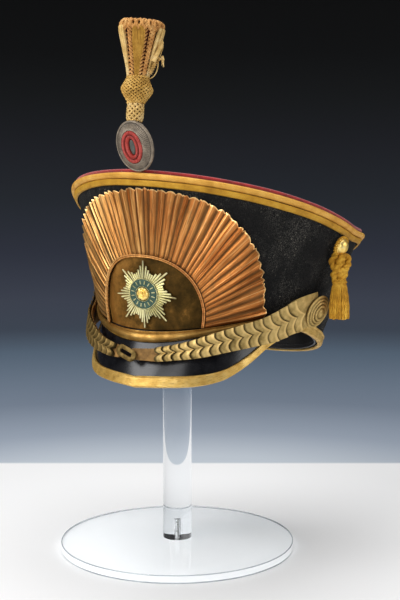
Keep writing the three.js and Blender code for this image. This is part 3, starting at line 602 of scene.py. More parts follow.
def copper_finish():
    """Gilt copper: streaky, redder and darker towards the wearer's left, with painted shade in the valleys
    and a painted highlight on the crests.
    """
    f = Finish("copper_gilt", Roughness=0.4, Metallic=0.9).tinted((1.0, 0.72, 0.4))
    patches = f.noise(f.place(1, 1, 0.45), 22, 4, 0.6)
    worn = f.maths("MULTIPLY_ADD", f.leftward(-30, 95), 0.42, f.maths("MULTIPLY", patches, 0.75))
    colour = f.ramp(worn, (0.28, (0.80, 0.48, 0.18)), (0.5, (0.77, 0.39, 0.12)), (0.68, (0.72, 0.29, 0.08)))
    streaks = f.noise(f.flow(1, 0.06), 1.0, 4, 0.6)
    broad = f.noise(f.flow(0.4, 0.03), 1.0, 2)
    colour = f.mix(f.ramp(streaks, (0.32, 0.8), (0.6, 0.0)), colour, (0.46, 0.34, 0.22), "MULTIPLY")
    colour = f.mix(f.ramp(broad, (0.36, 0.65), (0.58, 0.0)), colour, (0.52, 0.42, 0.30), "MULTIPLY")
    tarnish = f.ramp(f.noise(f.place(1, 1, 0.6), 6, 5, 0.7), (0.54, 0.0), (0.72, 0.55))
    colour = f.mix(tarnish, colour, (0.20, 0.11, 0.04))
    # painted shade: valleys and hollows darken by the Shade attribute
    colour = f.mix(f.ramp(f.shade(), (0.1, 0.0), (0.9, 0.82)), colour, (0.06, 0.03, 0.012))
    # painted highlight: crests and edges brighten by the Shade attribute, and are also made smoother
    painted_highlight = f.ramp(f.maths("MULTIPLY", f.shade(), -1), (0.15, 0.0), (0.95, 0.85))
    f.colour(f.mix(painted_highlight, colour, (1.0, 0.66, 0.28)))
    f.rough(f.mix(painted_highlight, f.ramp(streaks, (0.3, 0.5), (0.75, 0.36)), (0.3, 0.3, 0.3)))
    return f.bump(streaks, 0.16, 0.6).material


def old_brass_finish():
    """Tarnished brass in blotches: coppery on the wearer's right, darker brown towards the wearer's left."""
    f = Finish("brass_old", Roughness=0.38, Metallic=0.85).tinted((1.0, 0.7, 0.35))
    stains = f.noise(f.place(), 17, 5, 0.6, 0.5)
    small = f.noise(f.place(), 3.2, 5, 0.7)
    both = f.maths("ADD", f.maths("MULTIPLY", stains, 0.5), f.maths("MULTIPLY", small, 0.2))
    both = f.maths("MULTIPLY_ADD", f.leftward(-20, 35), -0.3, f.maths("ADD", both, 0.26))
    colour = f.ramp(both, (0.26, (0.035, 0.02, 0.005)), (0.36, (0.09, 0.046, 0.01)),
                    (0.5, (0.36, 0.165, 0.035)), (0.64, (0.52, 0.24, 0.05)))
    f.colour(f.mix(f.shade(), colour, (0.62, 0.42, 0.17)))
    f.rough(f.ramp(both, (0.38, 0.52), (0.62, 0.32)))
    return f.bump(small, 0.1, 0.4).material


def worn_metal_finish(name, dark, mid, bright, size, roughness, metallic=1.0):
    """Metal with painted shade in its hollows and a painted highlight on its high edges."""
    f = Finish(name, Roughness=roughness, Metallic=metallic).tinted(tuple(c ** 0.5 for c in bright))
    cloudy = f.noise(f.place(), size, 5, 0.62)
    colour = f.ramp(cloudy, (0.32, dark), (0.5, mid), (0.7, bright))
    # painted shade in hollows, grooves and under overlaps, by the Shade attribute
    colour = f.mix(f.ramp(f.shade(), (0.1, 0.0), (1.0, 0.9)), colour, tuple(c * 0.12 for c in dark))
    # painted highlight on crests and free edges, by the Shade attribute
    painted_highlight = f.ramp(f.maths("MULTIPLY", f.shade(), -1), (0.1, 0.0), (1.0, 0.8))
    f.colour(f.mix(painted_highlight, colour, tuple(min(1, c * 1.2) for c in bright)))
    lines = f.noise(f.flow(0.3, 2.2), 0.8, 4, 0.6)
    f.rough(f.ramp(cloudy, (0.3, min(1.0, roughness * 1.35)), (0.75, roughness * 0.8)))
    return f.bump(lines, 0.08, 0.5).material


def enamel_finish():
    f = Finish("enamel_green", Roughness=0.42, Coat_Weight=0.1, Specular_IOR_Level=0.3)
    f.colour(f.ramp(f.noise(f.place(), 1.4, 3), (0.3, (0.012, 0.035, 0.025)), (0.7, (0.06, 0.12, 0.085))))
    return f.bump(f.noise(f.place(), 1.2, 2), 0.1, 0.5).material


def brown_leather_finish():
    f = Finish("leather_brown", Roughness=0.55, Specular_IOR_Level=0.25).tinted((1.0, 0.8, 0.55))
    f.colour(f.ramp(f.noise(f.place(), 6, 4), (0.3, (0.10, 0.05, 0.014)), (0.7, (0.32, 0.17, 0.05))))
    return f.bump(f.cells(f.place(), 0.8), 0.15, 0.8).material


def cockade_finish(name, dark, bright, metallic):
    f = Finish(name, Roughness=0.5, Metallic=metallic)
    tone = f.noise(f.place(), 5, 4, 0.6)
    # painted shade: grooves and rib valleys darken by the Shade attribute
    f.colour(f.mix(f.ramp(f.shade(), (0.2, 0.0), (1.0, 0.8)), f.ramp(tone, (0.3, dark), (0.7, bright)),
                   tuple(c * 0.2 for c in dark)))
    return f.bump(f.noise(f.place(), 0.7, 2), 0.1, 0.5).material


def cord_finish(name, dark, mid, bright):
    """Gold thread wound round a cord."""
    f = Finish(name, Roughness=0.55, Metallic=0.25, Specular_IOR_Level=0.3).tinted((1.0, 0.8, 0.5))
    soiled = f.noise(f.place(), 7, 4, 0.62)
    colour = f.ramp(soiled, (0.3, dark), (0.5, mid), (0.7, bright))
    winding = f.bands(f.flow(turn=1.1), CORD_THREAD)
    f.colour(f.mix(f.ramp(winding, (0.0, 0.5), (0.5, 0.0)), colour, tuple(c * 0.45 for c in mid)))
    return f.bump(winding, 0.12, 0.8).material


def acrylic_finish():
    """Clear acrylic; light from lamps passes straight through it, so it casts no dark shadow."""
    f = Finish("acrylic_clear", Transmission_Weight=1.0, IOR=1.49)
    f.shader.inputs["Base Color"].default_value = (0.94, 0.96, 0.975, 1)
    smears = f.noise(f.place(), 30, 4, 0.6)
    f.rough(f.ramp(smears, (0.4, 0.0), (0.8, 0.05)))
    clear = f.node("BsdfTransparent", values={"Color": (0.93, 0.95, 0.96, 1)})
    shadow = f.node("LightPath", out="Is Shadow Ray")
    mixed = f.tree.nodes.new("ShaderNodeMixShader")
    f.tree.links.new(shadow, mixed.inputs[0])
    f.tree.links.new(f.shader.outputs[0], mixed.inputs[1])
    f.tree.links.new(clear, mixed.inputs[2])
    f.tree.links.new(mixed.outputs[0], f.tree.nodes["Material Output"].inputs["Surface"])
    return f.material


def acrylic_edge_finish():
    # grey standing for the polished edges' painted reflection
    f = Finish("acrylic_edge", Roughness=0.25)
    tone = f.noise(f.place(), 40)
    return f.colour(f.ramp(tone, (0.3, (0.22, 0.24, 0.26)), (0.7, (0.5, 0.53, 0.55)))).material


FELT = felt_finish()
BLACK_LEATHER = black_leather_finish()
PATENT = patent_finish()
ROLL_LACE = lace_finish("lace_tan", [(0.52, 0.25, 0.035), (0.72, 0.38, 0.07), (0.86, 0.53, 0.13),
                                     (0.55, 0.36, 0.14)])
BAND_LACE = lace_finish("lace_gold", [(0.32, 0.15, 0.013), (0.52, 0.27, 0.026), (0.66, 0.39, 0.05),
                                      (0.5, 0.32, 0.08)])
RED_CLOTH = red_cloth_finish()
GILT_LEATHER = gilt_leather_finish()
COPPER_GILT = copper_finish()
OLD_BRASS = old_brass_finish()
STAR_SILVER = worn_metal_finish(
    "silver_gilt", (0.52, 0.44, 0.19), (0.80, 0.71, 0.36), (0.94, 0.87, 0.52), 5, 0.36)
BAR_GILT = worn_metal_finish(
    "bar_gilt", (0.24, 0.13, 0.03), (0.37, 0.20, 0.05), (0.52, 0.32, 0.095), 8, 0.42, 0.9)
GREEN_ENAMEL = enamel_finish()
GOLD = worn_metal_finish(
    "gold_bright", (0.70, 0.44, 0.09), (0.94, 0.68, 0.21), (1.0, 0.84, 0.40), 4, 0.4)
SCALE_BRASS = worn_metal_finish(
    "scale_brass", (0.25, 0.175, 0.06), (0.46, 0.325, 0.12), (0.62, 0.44, 0.175), 9, 0.54, 0.85)
DULL_BRASS = worn_metal_finish(
    "dull_brass", (0.06, 0.038, 0.012), (0.135, 0.088, 0.028), (0.25, 0.165, 0.058), 6, 0.5, 0.8)
BROWN_LEATHER = brown_leather_finish()
COCKADE_SILVER = cockade_finish("cockade_silver", (0.11, 0.085, 0.06), (0.30, 0.24, 0.175), 0.35)
COCKADE_RED = cockade_finish("cockade_red", (0.28, 0.022, 0.014), (0.52, 0.06, 0.042), 0.0)
COCKADE_CORE = cockade_finish("cockade_core", (0.03, 0.035, 0.028), (0.11, 0.12, 0.10), 0.2)
GOLD_CORD = cord_finish("cord_gold", (0.34, 0.18, 0.035), (0.62, 0.36, 0.085), (0.80, 0.53, 0.17))
ROSE_CORD = cord_finish("cord_rose", (0.34, 0.14, 0.04), (0.60, 0.29, 0.085), (0.78, 0.46, 0.17))
ORANGE_CORD = cord_finish("cord_orange", (0.30, 0.13, 0.012), (0.56, 0.28, 0.025), (0.78, 0.46, 0.06))
PALE_CORD = cord_finish("cord_pale", (0.52, 0.32, 0.09), (0.76, 0.51, 0.19), (0.90, 0.69, 0.34))
STRIP_GOLD = cord_finish("strip_gold", (0.30, 0.14, 0.02), (0.48, 0.25, 0.04), (0.66, 0.39, 0.08))
# near-black cores under the plume's nets: painted shade in the gaps between the cords
GAP_SHADE_CORD = cord_finish("cord_gap_shade", (0.035, 0.004, 0.003), (0.07, 0.010, 0.006), (0.12, 0.022, 0.012))
TASSEL_SHADE = cord_finish("cord_shade", (0.16, 0.06, 0.008), (0.26, 0.11, 0.015), (0.36, 0.17, 0.03))
ACRYLIC = acrylic_finish()
EDGE_REFLECTION = acrylic_edge_finish()
STEEL = worn_metal_finish(
    "steel", (0.35, 0.35, 0.35), (0.55, 0.55, 0.55), (0.7, 0.7, 0.7), 3, 0.25)


# ---- Crown, top and bands ----

def crown_shell():
    foot = foot_height(ALL_ROUND)
    top = rim_height(ALL_ROUND) - 2 * PIPING_RADIUS - GAP
    part = np.linspace(0, 1, 40)[None, :]
    height = foot + (top - foot) * part
    plain = wall(ALL_ROUND, height, 0)
    free = ease(part, 0, 0.12) * ease(1 - part, 0, 0.2) * ease(np.abs(ALL_ROUND), 40, 60)
    dents = 0.9 * ripple(plain, 55, 3) + 0.5 * ripple(plain * [1, 1, 0.4], 20, 4) - 0.9
    pile = 0.16 * ripple(plain, 3.1, 5) + 0.1 * ripple(plain, 1.9, 6)
    outside = wall(ALL_ROUND, height, -0.15 + free * np.minimum(dents, 0.2) + pile)
    inside = wall(ALL_ROUND, height, -FELT_THICKNESS)
    return sheet(outside, inside, looped=True)


def crown_top():
    """Leather top, sunk inside the rim, with a stitched edge ring and a slight sag."""
    reach = np.concatenate([np.linspace(0.02, 0.9, 24), np.linspace(0.915, 1, 10)])
    edge = wall(ALL_ROUND[:, 0], TOP_DISC_HEIGHT, -FELT_THICKNESS - GAP)
    centre = edge.mean(0)
    rings = centre + (edge - centre) * reach[:, None, None]
    seam = -0.7 * np.exp(-((reach - 0.93) / 0.006) ** 2)
    sag = -1.6 * (1 - reach ** 2)
    relief = 0.35 * ripple(rings, 40, 11)
    top = rings.copy()
    drop = (seam + sag)[:, None]
    top[..., 2] = TOP_DISC_HEIGHT + TOP_DISC_THICKNESS + drop + relief * (reach < 0.99)[:, None]
    under = rings.copy()
    under[..., 2] = TOP_DISC_HEIGHT
    return loft(np.concatenate([under, top[::-1]]))


def stitches(count, place, length, radius):
    """Thread stitches: place gives a point, the way along and the way out at a turn of 0 to 1."""
    solids = []
    for k in range(count):
        point, along, out = place((k + 0.5) / count)
        ends = [-0.5, -0.3, 0.0, 0.3, 0.5]
        rises = [-0.25, 0.1, 0.22, 0.1, -0.25]
        path = [point + along * length * e + out * r for e, r in zip(ends, rises)]
        solids.append(tube(path, radius, sides=6))
    return joined(solids)


def rim_piping():
    section = arc((-FELT_THICKNESS / 2, -PIPING_RADIUS), (1.4 * PIPING_RADIUS, PIPING_RADIUS), 0, 345, 24)
    return ring_band(section, rim_height, 0.12, 21)


def rim_roll():
    section = np.concatenate([
        [(GAP, -6.9), (1.2, -7.0)],
        arc((1.3, -5.0), (2.5, 2.0), -75, 80, 16),
        [(GAP, -2.9)],
    ])
    return ring_band(section, rim_height, 0.12, 22)


def lace_band():
    section = np.concatenate([
        [(GAP, -11.2)],
        arc((1.5, -10.7), (0.5, 0.5), -90, 0, 4),
        [(2.35, -9.6), (2.5, -9.0)],
        arc((1.7, -8.0), (0.8, 0.5), 0, 80, 5),
        [(GAP, -7.4)],
    ])
    return ring_band(section, rim_height, 0.1, 23)


def sweatband():
    outer = -FELT_THICKNESS - 2 * GAP
    section = np.concatenate([
        [(outer, 0.2), (outer, SWEATBAND_WIDTH)],
        arc((outer - 0.7, SWEATBAND_WIDTH), (0.7, 0.4), 20, 160, 5),
        [(outer - 1.4, h) for h in np.linspace(SWEATBAND_WIDTH - 0.5, 0.6, 12)],
        arc((outer - 0.7, 0.0), (0.75, 0.5), 200, 340, 5),
    ])
    return ring_band(section, foot_height, 0.1, 24)


def sweatband_stitches():
    def place(turn):
        angle = -180 + 360 * turn
        height = foot_height(angle) + 3.2
        offset = -FELT_THICKNESS - 2 * GAP - 1.45
        point = wall(angle, height, offset)
        along = unit(wall(angle + 1, foot_height(angle + 1) + 3.2, offset) - point)
        out = unit(point - wall(angle, height, offset + 1))
        return point, along, out

    return stitches(260, place, 1.9, 0.24)


def lower_binding():
    """Gilt leather folded over the crown's lower edge, round the back from ear to ear."""
    outside, legs, inner = 1.5, 5.2, -FELT_THICKNESS + 0.8
    angle = np.linspace(80, 280, 200)[:, None]
    foot = foot_height(np.where(angle > 180, angle - 360, angle))
    section = np.concatenate([
        [(GAP, legs)],
        arc((outside - 0.35, legs - 0.3), (0.5, 0.4), 80, 0, 4),
        [(outside + 0.1, legs - 1.1), (outside - 0.25, legs - 1.5), (outside + 0.05, 2.2)],
        arc((outside - 1.0, -0.7), (1.05, 1.0), 0, -85, 7),
        [(-0.8, -1.7), (inner + 0.2, -1.7), (inner, -1.4), (inner, -GAP), (GAP, -GAP)],
    ])
    wave = 0.12 * ripple(wall(angle, foot, 0), 14, 31)
    return loft(wall(angle, foot + section[:, 1], section[:, 0] + wave))


# ---- Visor ----

def smooth_column(column):
    """Smooth curve through a column of the visor's table, by angle."""
    angles = VISOR_EDGE[:, 0]
    values = VISOR_EDGE[:, column]
    slopes = np.empty(len(angles))
    slopes[1:-1] = (values[2:] - values[:-2]) / (angles[2:] - angles[:-2])
    slopes[0] = (values[1] - values[0]) / (angles[1] - angles[0])
    slopes[-1] = (values[-1] - values[-2]) / (angles[-1] - angles[-2])

    def read(angle):
        turn = np.abs(angle)
        k = np.clip(np.searchsorted(angles, turn) - 1, 0, len(angles) - 2)
        width = angles[k + 1] - angles[k]
        t = np.clip((turn - angles[k]) / width, 0, 1)
        return ((2 * t ** 3 - 3 * t ** 2 + 1) * values[k] + (t ** 3 - 2 * t ** 2 + t) * width * slopes[k]
                + (3 * t ** 2 - 2 * t ** 3) * values[k + 1] + (t ** 3 - t ** 2) * width * slopes[k + 1])

    return read


visor_height = smooth_column(1)
visor_flare = smooth_column(2)
VISOR_END = VISOR_EDGE[-1, 0]
VISOR_ANGLES = np.linspace(-VISOR_END, VISOR_END, 180)[:, None]


def visor_face(angle, height):
    """Offset of the visor's outer face, flaring evenly from the crown's foot to the edge."""
    top = foot_height(angle)
    part = (top - height) / (top - visor_height(angle))
    return VISOR_OUTSIDE + visor_flare(angle) * part


def visor():
    edge = visor_height(VISOR_ANGLES) + 1.3
    top = foot_height(VISOR_ANGLES) - GAP
    part = np.linspace(0, 1, 18)[None, :]
    height = top + (edge - top) * part
    plain = wall(VISOR_ANGLES, height, visor_face(VISOR_ANGLES, height))
    wave = 0.22 * ripple(plain, 34, 41) * ease(1 - part, 0, 0.35)
    outside = wall(VISOR_ANGLES, height, visor_face(VISOR_ANGLES, height) + wave)
    inside = wall(VISOR_ANGLES, height, visor_face(VISOR_ANGLES, height) - VISOR_THICKNESS)
    return sheet(outside, inside)


def visor_rim_width(angle):
    drop = foot_height(angle) - visor_height(angle)
    return np.minimum(VISOR_RIM_WIDTH, drop - 1.2)


def visor_rim():
    """Gilt leather folded over the visor's edge, with a fine bead along its upper line."""
    edge = visor_height(VISOR_ANGLES)
    width = visor_rim_width(VISOR_ANGLES)
    # part of the width, rise above the edge, distance off the face; side: 1 out, -1 in
    rows = [
        (1, 1.0, 0.0, 0.45), (1, 1.0, 0.0, 1.2), (1, 1.0, -0.25, 1.75), (1, 1.0, -0.7, 1.95),
        (1, 1.0, -1.15, 1.75), (1, 1.0, -1.4, 1.3), (1, 0.7, 0.0, 1.25), (1, 0.45, 0.0, 1.3),
        (1, 0.2, 0.3, 1.45), (1, 0.0, 0.7, 1.65), (1, 0.0, 0.2, 1.5), (1, 0.0, -0.1, 0.9),
        (-1, 0.0, -0.1, 0.9), (-1, 0.0, 0.2, 1.4), (-1, 0.4, 0.0, 1.4), (-1, 0.8, 0.0, 1.3),
        (-1, 0.8, 0.1, 0.45), (-1, 0.4, 0.5, 0.45), (-1, 0.0, 0.9, 0.45), (1, 0.0, 0.9, 0.45),
        (1, 0.4, 0.5, 0.45), (1, 0.8, 0.0, 0.45),
    ]
    columns = []
    for side, part, rise, away in rows:
        height = edge + width * part + rise
        face = visor_face(VISOR_ANGLES, height)
        offset = face + away if side > 0 else face - VISOR_THICKNESS - away
        columns.append(wall(VISOR_ANGLES, height, offset))
    rings = np.concatenate(columns, 1)
    return loft(rings)


# ---- Front plate ----

def plate_angle(across, height):
    start = PLATE_MM_PER_DEGREE["from"]
    part = np.maximum(0, (height - start) / (CROWN_HEIGHT - start))
    return across / (PLATE_MM_PER_DEGREE["low"] + PLATE_MM_PER_DEGREE["gain"] * part)


def plate_foot(angle):
    return -PLATE_FOOT["drop"] * np.cos(PLATE_FOOT["rate"] * angle * DEG)


def outline(turn, shape, inset=0.0):
    """Across and height on an arched outline; turns past 90 degrees are on its straight sides."""
    over = np.maximum(0, np.abs(turn) - 90) / (TURN_LIMIT - 90)
    bent = np.clip(turn, -90, 90) * DEG
    power = 2 / shape["square"]
    half = np.where(bent < 0, shape["right"], shape["left"])
    across = (half - inset) * np.sign(bent) * np.abs(np.sin(bent)) ** power
    height = shape["centre"] + (shape["rise"] - inset) * np.abs(np.cos(bent)) ** power
    foot = plate_foot(plate_angle(across, 0))
    return across, height + (foot - height) * over


def fan_edge(turn):
    across, height = outline(turn, PLATE)
    lift = np.clip(height / PLATE["rise"], 0, 1)
    return across, height - PLATE["droop"] * np.maximum(0, -across) * lift


def even_turns(edge):
    """Turns at even lengths along an outline, for places from 0 to 1."""
    turns = np.linspace(-TURN_LIMIT, TURN_LIMIT, 1600)
    across, height = edge(turns)
    steps = np.hypot(np.diff(across), np.diff(height))
    length = np.concatenate([[0], np.cumsum(steps)])
    return lambda place: np.interp(place, length / length[-1], turns)


def fan_plate():
    """Folded pleats: knife-like ridges, uneven streaky slopes, narrow valleys, scalloped edge."""
    random = np.random.default_rng(12)
    per_pleat = 14
    widths = random.uniform(0.62, 1.3, PLEATS)
    marks = np.concatenate([[0], np.cumsum(widths)]) / widths.sum()
    ridge = random.uniform(0.3, 0.7, PLEATS)
    tall = random.uniform(0.6, 1.2, PLEATS)
    round_off = random.uniform(0.9, 1.9, PLEATS)
    second = np.where(random.random(PLEATS) < 0.4, random.uniform(0.15, 0.4, PLEATS), 0)
    long = random.uniform(-0.012, 0.012, PLEATS)
    peaked = random.random(PLEATS) < 0.5
    places, lifts, reaches, crest_highlights = [], [], [], []
    for k in range(PLEATS):
        t = np.arange(per_pleat) / per_pleat
        t = t + (ridge[k] - 0.5) * 4 * t * (1 - t) * 0.5
        places.append(marks[k] + (marks[k + 1] - marks[k]) * t)
        slope = np.where(t < ridge[k], t / ridge[k], (1 - t) / (1 - ridge[k]))
        crease = 0.5 * ridge[k] if ridge[k] > 0.5 else 0.5 + 0.5 * ridge[k]
        fold = second[k] * np.exp(-((t - crease) / 0.07) ** 2)
        lifts.append(tall[k] * (np.clip(slope, 0, 1) ** round_off[k] + fold))
        crest_highlights.append(ease(slope, 0.86, 1.0) * random.uniform(0.3, 1.0))
        scallop = 0.028 * np.sin(np.pi * t) ** 0.8 + long[k]
        peak = 0.036 * np.exp(-(t / 0.12) ** 2) if peaked[k] else 0
        reaches.append(0.968 + scallop + peak)
    places = np.append(np.concatenate(places), 1)[:, None]
    lifts = np.append(np.concatenate(lifts), 0)[:, None]
    crest_highlights = np.append(np.concatenate(crest_highlights), 0)[:, None]
    reaches = np.append(np.concatenate(reaches), 0.968)[:, None]
    part = np.concatenate([np.linspace(0, 0.94, 26), np.linspace(0.955, 1, 6)])[None, :]
    sway = 0.0016 * np.sin(places * 43 + part * 4) * part * (1 - part) * 4
    inner_across, inner_height = outline(even_turns(lambda t: outline(t, ARCH, -0.6))(places), ARCH, -0.6)
    outer_across, outer_height = fan_edge(even_turns(fan_edge)(np.clip(places + sway, 0, 1)))
    reach = part * (1 + (reaches - 1) * part ** 4)
    across = inner_across + (outer_across - inner_across) * reach
    height = inner_height + (outer_height - inner_height) * reach
    swell = lifts * (0.34 + 0.66 * part ** 0.8)
    swell = swell * (1 + 0.14 * np.sin(places * 270 + part * 6))
    angle = plate_angle(across, height)
    close = 1 - 0.55 * ease(-angle, 34, 56)
    swell, base = swell * close, (1.9 + 0.35 * np.sin(places * 9 + 1) * part) * (0.45 + 0.55 * close)
    outside = wall(angle, height, base + PLEAT_DEPTH * swell)
    inside = wall(angle, height, base + PLEAT_DEPTH * swell - 0.6)
    # painted shade in the valleys between pleats, painted highlight along their crests
    shade = np.clip(1 - lifts / 0.4, 0, 1) - crest_highlights * (0.55 + 0.45 * part)
    # painted highlight along the scalloped outer edge
    edge_highlight = 0.8 * ease(part, 0.965, 1.0)
    return sheet(outside, inside, shade=np.maximum(np.minimum(shade, 1 - 2 * edge_highlight) - edge_highlight, -1))


def arch_plate():
    turns = np.linspace(-TURN_LIMIT, TURN_LIMIT, 120)[:, None]
    across, top = outline(turns, ARCH, 1.4)
    angle = plate_angle(across, top)
    foot = plate_foot(angle)
    part = np.linspace(0, 1, 26)[None, :]
    height = foot + 0.4 + (np.maximum(foot + 0.8, top) - foot - 0.4) * part
    plain = wall(angle, height, 0)
    dents = 0.28 * ripple(plain, 22, 51) + 0.1 * ripple(plain, 8, 52)
    outside = wall(angle, height, 2.15 + np.clip(dents, -0.45, 0.3))
    inside = wall(angle, height, 0.8)
    return sheet(outside, inside)


def arch_rim():
    """Two fine raised lines round the arch, the outer one larger."""
    turns = np.linspace(-TURN_LIMIT, TURN_LIMIT, 160)[:, None]
    profile = np.concatenate([
        [(0.0, 4.0)],
        arc((0.24, 4.4), (0.24, 0.85), 180, 20, 9),
        arc((0.72, 4.4), (0.28, 1.35), 160, 0, 11),
        [(1.0, 4.0)],
    ])
    outer_across, outer_height = outline(turns, ARCH, 0)
    inner_across, inner_height = outline(turns, ARCH, 2.1)
    across = inner_across + (outer_across - inner_across) * profile[:, 0]
    height = inner_height + (outer_height - inner_height) * profile[:, 0]
    # painted highlight on the lines' tops, painted shade at their feet by the plate
    crest = np.where(profile[:, 1] > 5.2, -0.35, np.where(profile[:, 1] < 4.45, 0.95, 0))
    return loft(wall(plate_angle(across, height), height, profile[:, 1]), shade=crest)


def base_bar():
    """Rounded moulding under the plate, deepest at the centre."""
    angle = np.linspace(-BAR_END_ANGLE, BAR_END_ANGLE, 150)[:, None]
    top = plate_foot(angle) - 2 * GAP
    depth = BAR_DEPTH["ends"] + BAR_DEPTH["extra"] * np.cos(BAR_DEPTH["rate"] * angle * DEG) ** 2
    section = np.concatenate([
        [(0.0, 1.1), (0.0, 3.0)],
        arc((0.07, 3.2), (0.06, 0.55), 160, 10, 6),
        [(0.16, 3.35), (0.19, 3.5)],
        arc((0.55, 2.4), (0.4, 2.05), 150, 0, 12),
        [(1.0, 2.0), (1.0, 1.1)],
    ])
    return loft(wall(angle, top - section[:, 0] * depth, section[:, 1]))


# ---- Star ----

def on_star(radius, turn, offset):
    across = radius * np.sin(turn)
    up = radius * np.cos(turn)
    return wall(STAR_ANGLE + across / STAR_MM_PER_DEGREE, STAR_HEIGHT + up * STAR_SLOPE, offset)


def star_rays():
    """Eight points of seven ridged bars with blunt ends, the middle bar thin and longest."""
    reaches = (1.0, 0.84, 0.74, 0.66, 0.66, 0.74, 0.84)
    random = np.random.default_rng(61)
    rays = STAR_POINTS * len(reaches)
    solids = []
    for k in range(rays):
        turn = k * TAU / rays
        middle = k % len(reaches) == 0
        reach = STAR_REACH * reaches[k % len(reaches)] * random.uniform(0.98, 1.0)
        radii = STAR_ROOT + (reach - STAR_ROOT) * np.array([0, 0.5, 0.92, 1])
        half = np.minimum(radii * 0.5 * TAU / rays * 0.84, 0.56 if middle else 0.64) * [1, 1, 1, 0.72]
        crest = 5.7 - 0.7 * (radii - STAR_ROOT) / (STAR_REACH - STAR_ROOT) + (0.4 if middle else 0.0)
        rings = []
        for radius, wide, top in zip(radii, half, crest):
            swing = wide / radius
            rings.append([
                on_star(radius, turn - swing, top - 0.5),
                on_star(radius, turn, top),
                on_star(radius, turn + swing, top - 0.5),
                on_star(radius, turn + swing, top - 1.3),
                on_star(radius, turn, top - 1.4),
                on_star(radius, turn - swing, top - 1.3),
            ])
        # painted highlight on each bar's crest, painted shade along its underside
        solids.append(loft(rings, shade=np.array([0, -0.8, 0, 0.8, 0.9, 0.8])))
    # ring under the bars, painted dark as the shade between them
    back = [on_star(radius, turns_of(64), offset)
            for radius, offset in ((11.1, 2.75), (14.6, 3.0), (14.6, 3.5), (11.1, 4.0))]
    solids.append(loft(np.stack(back, 1), looped=True, shade=np.full(4, 0.8)))
    return joined(solids)


def bead(centre, radius, up):
    """Small round bead with its axis along up."""
    turn = turns_of(8)
    side = unit(np.cross(up, [0.3, 0.2, 0.9]))
    other = np.cross(up, side)
    rings = []
    for level in np.linspace(-80, 80, 6) * DEG:
        circle = np.cos(turn)[:, None] * side + np.sin(turn)[:, None] * other
        rings.append(centre + radius * (math.cos(level) * circle + math.sin(level) * up))
    return loft(rings)


def star_beads():
    solids = []
    for radius, count, size, offset in ((10.65, 64, 0.44, 6.25), (5.25, 30, 0.36, 6.6)):
        for k in range(count):
            turn = k * TAU / count
            centre = on_star(radius, turn, offset)
            solids.append(bead(centre, size, unit(on_star(radius, turn, offset + 1) - centre)))
    for k in range(16):
        turn = (k + 0.5) * TAU / 16
        rings = []
        for radius in (6.7, 6.95, 9.0, 9.25):
            narrow = 0.16 if radius in (6.7, 9.25) else 0.4
            swing = narrow / radius
            rings.append([on_star(radius, turn + s * swing, o)
                          for s, o in ((-1, 6.2), (-0.6, 6.75), (0.6, 6.75), (1, 6.2))])
        solids.append(loft(rings))
    return joined(solids)


def star_ring():
    rows = np.array([(11.0, 2.7), (11.0, 6.0), (10.6, 6.2), (10.0, 6.0), (9.4, 6.2), (8.0, 6.4),
                     (6.4, 6.4), (5.7, 6.3), (5.2, 6.5), (4.95, 6.3), (4.95, 2.7)])
    return loft(on_star(rows[:, 0], turns_of(96)[:, None], rows[:, 1]), looped=True)


def star_centre():
    """Domed rosette with petals in two rows round a button."""
    turn = turns_of(96)
    rows = []
    for radius, offset, petal, number in (
        (4.4, 2.7, 0, 8), (4.4, 6.3, 0.1, 8), (4.3, 6.8, 0.3, 8), (3.7, 7.5, 0.45, 8), (3.0, 7.7, 0.3, 8),
        (2.55, 7.3, 0.1, 8), (2.4, 7.5, 0.1, 6), (2.1, 8.3, 0.2, 6), (1.5, 8.6, 0.15, 6), (1.1, 8.4, 0, 6),
        (0.95, 8.7, 0, 6), (0.6, 9.0, 0, 6), (0.25, 9.1, 0, 6),
    ):
        swell = petal * np.abs(np.cos(turn * number / 2))
        rows.append(on_star(radius * (1 + 0.06 * (swell > 0) * np.abs(np.cos(turn * number / 2))),
                            turn, offset + swell - petal * 0.6))
    return loft(np.array(rows))


# ---- Chin scales ----

def strap_curve():
    """Even points (mm across, height, half width) along the strap, and their directions."""
    points = STRAP_ROUTE * [STRAP_MM_PER_DEGREE, 1, 1]
    first, last = 2 * points[0] - points[1], 2 * points[-1] - points[-2]
    padded = np.concatenate([[first], points, [last]])
    dense = []
    for k in range(len(padded) - 3):
        p0, p1, p2, p3 = padded[k:k + 4]
        d0, d1, d2 = (math.sqrt(np.linalg.norm(b - a)) for a, b in ((p0, p1), (p1, p2), (p2, p3)))
        t1 = ((p1 - p0) / d0 - (p2 - p0) / (d0 + d1) + (p2 - p1) / d1) * d1
        t2 = ((p2 - p1) / d1 - (p3 - p1) / (d1 + d2) + (p3 - p2) / d2) * d1
        for t in np.linspace(0, 1, 40, endpoint=False):
            dense.append(p1 + t1 * t + (3 * (p2 - p1) - 2 * t1 - t2) * t ** 2
                         + (2 * (p1 - p2) + t1 + t2) * t ** 3)
    dense.append(points[-1])
    dense = np.array(dense)
    length = np.concatenate([[0], np.cumsum(np.linalg.norm(np.diff(dense, axis=0), axis=1))])
    return dense, length / length[-1], np.gradient(dense, length, axis=0)


STRAP_POINTS, STRAP_PARTS, STRAP_WAYS = strap_curve()


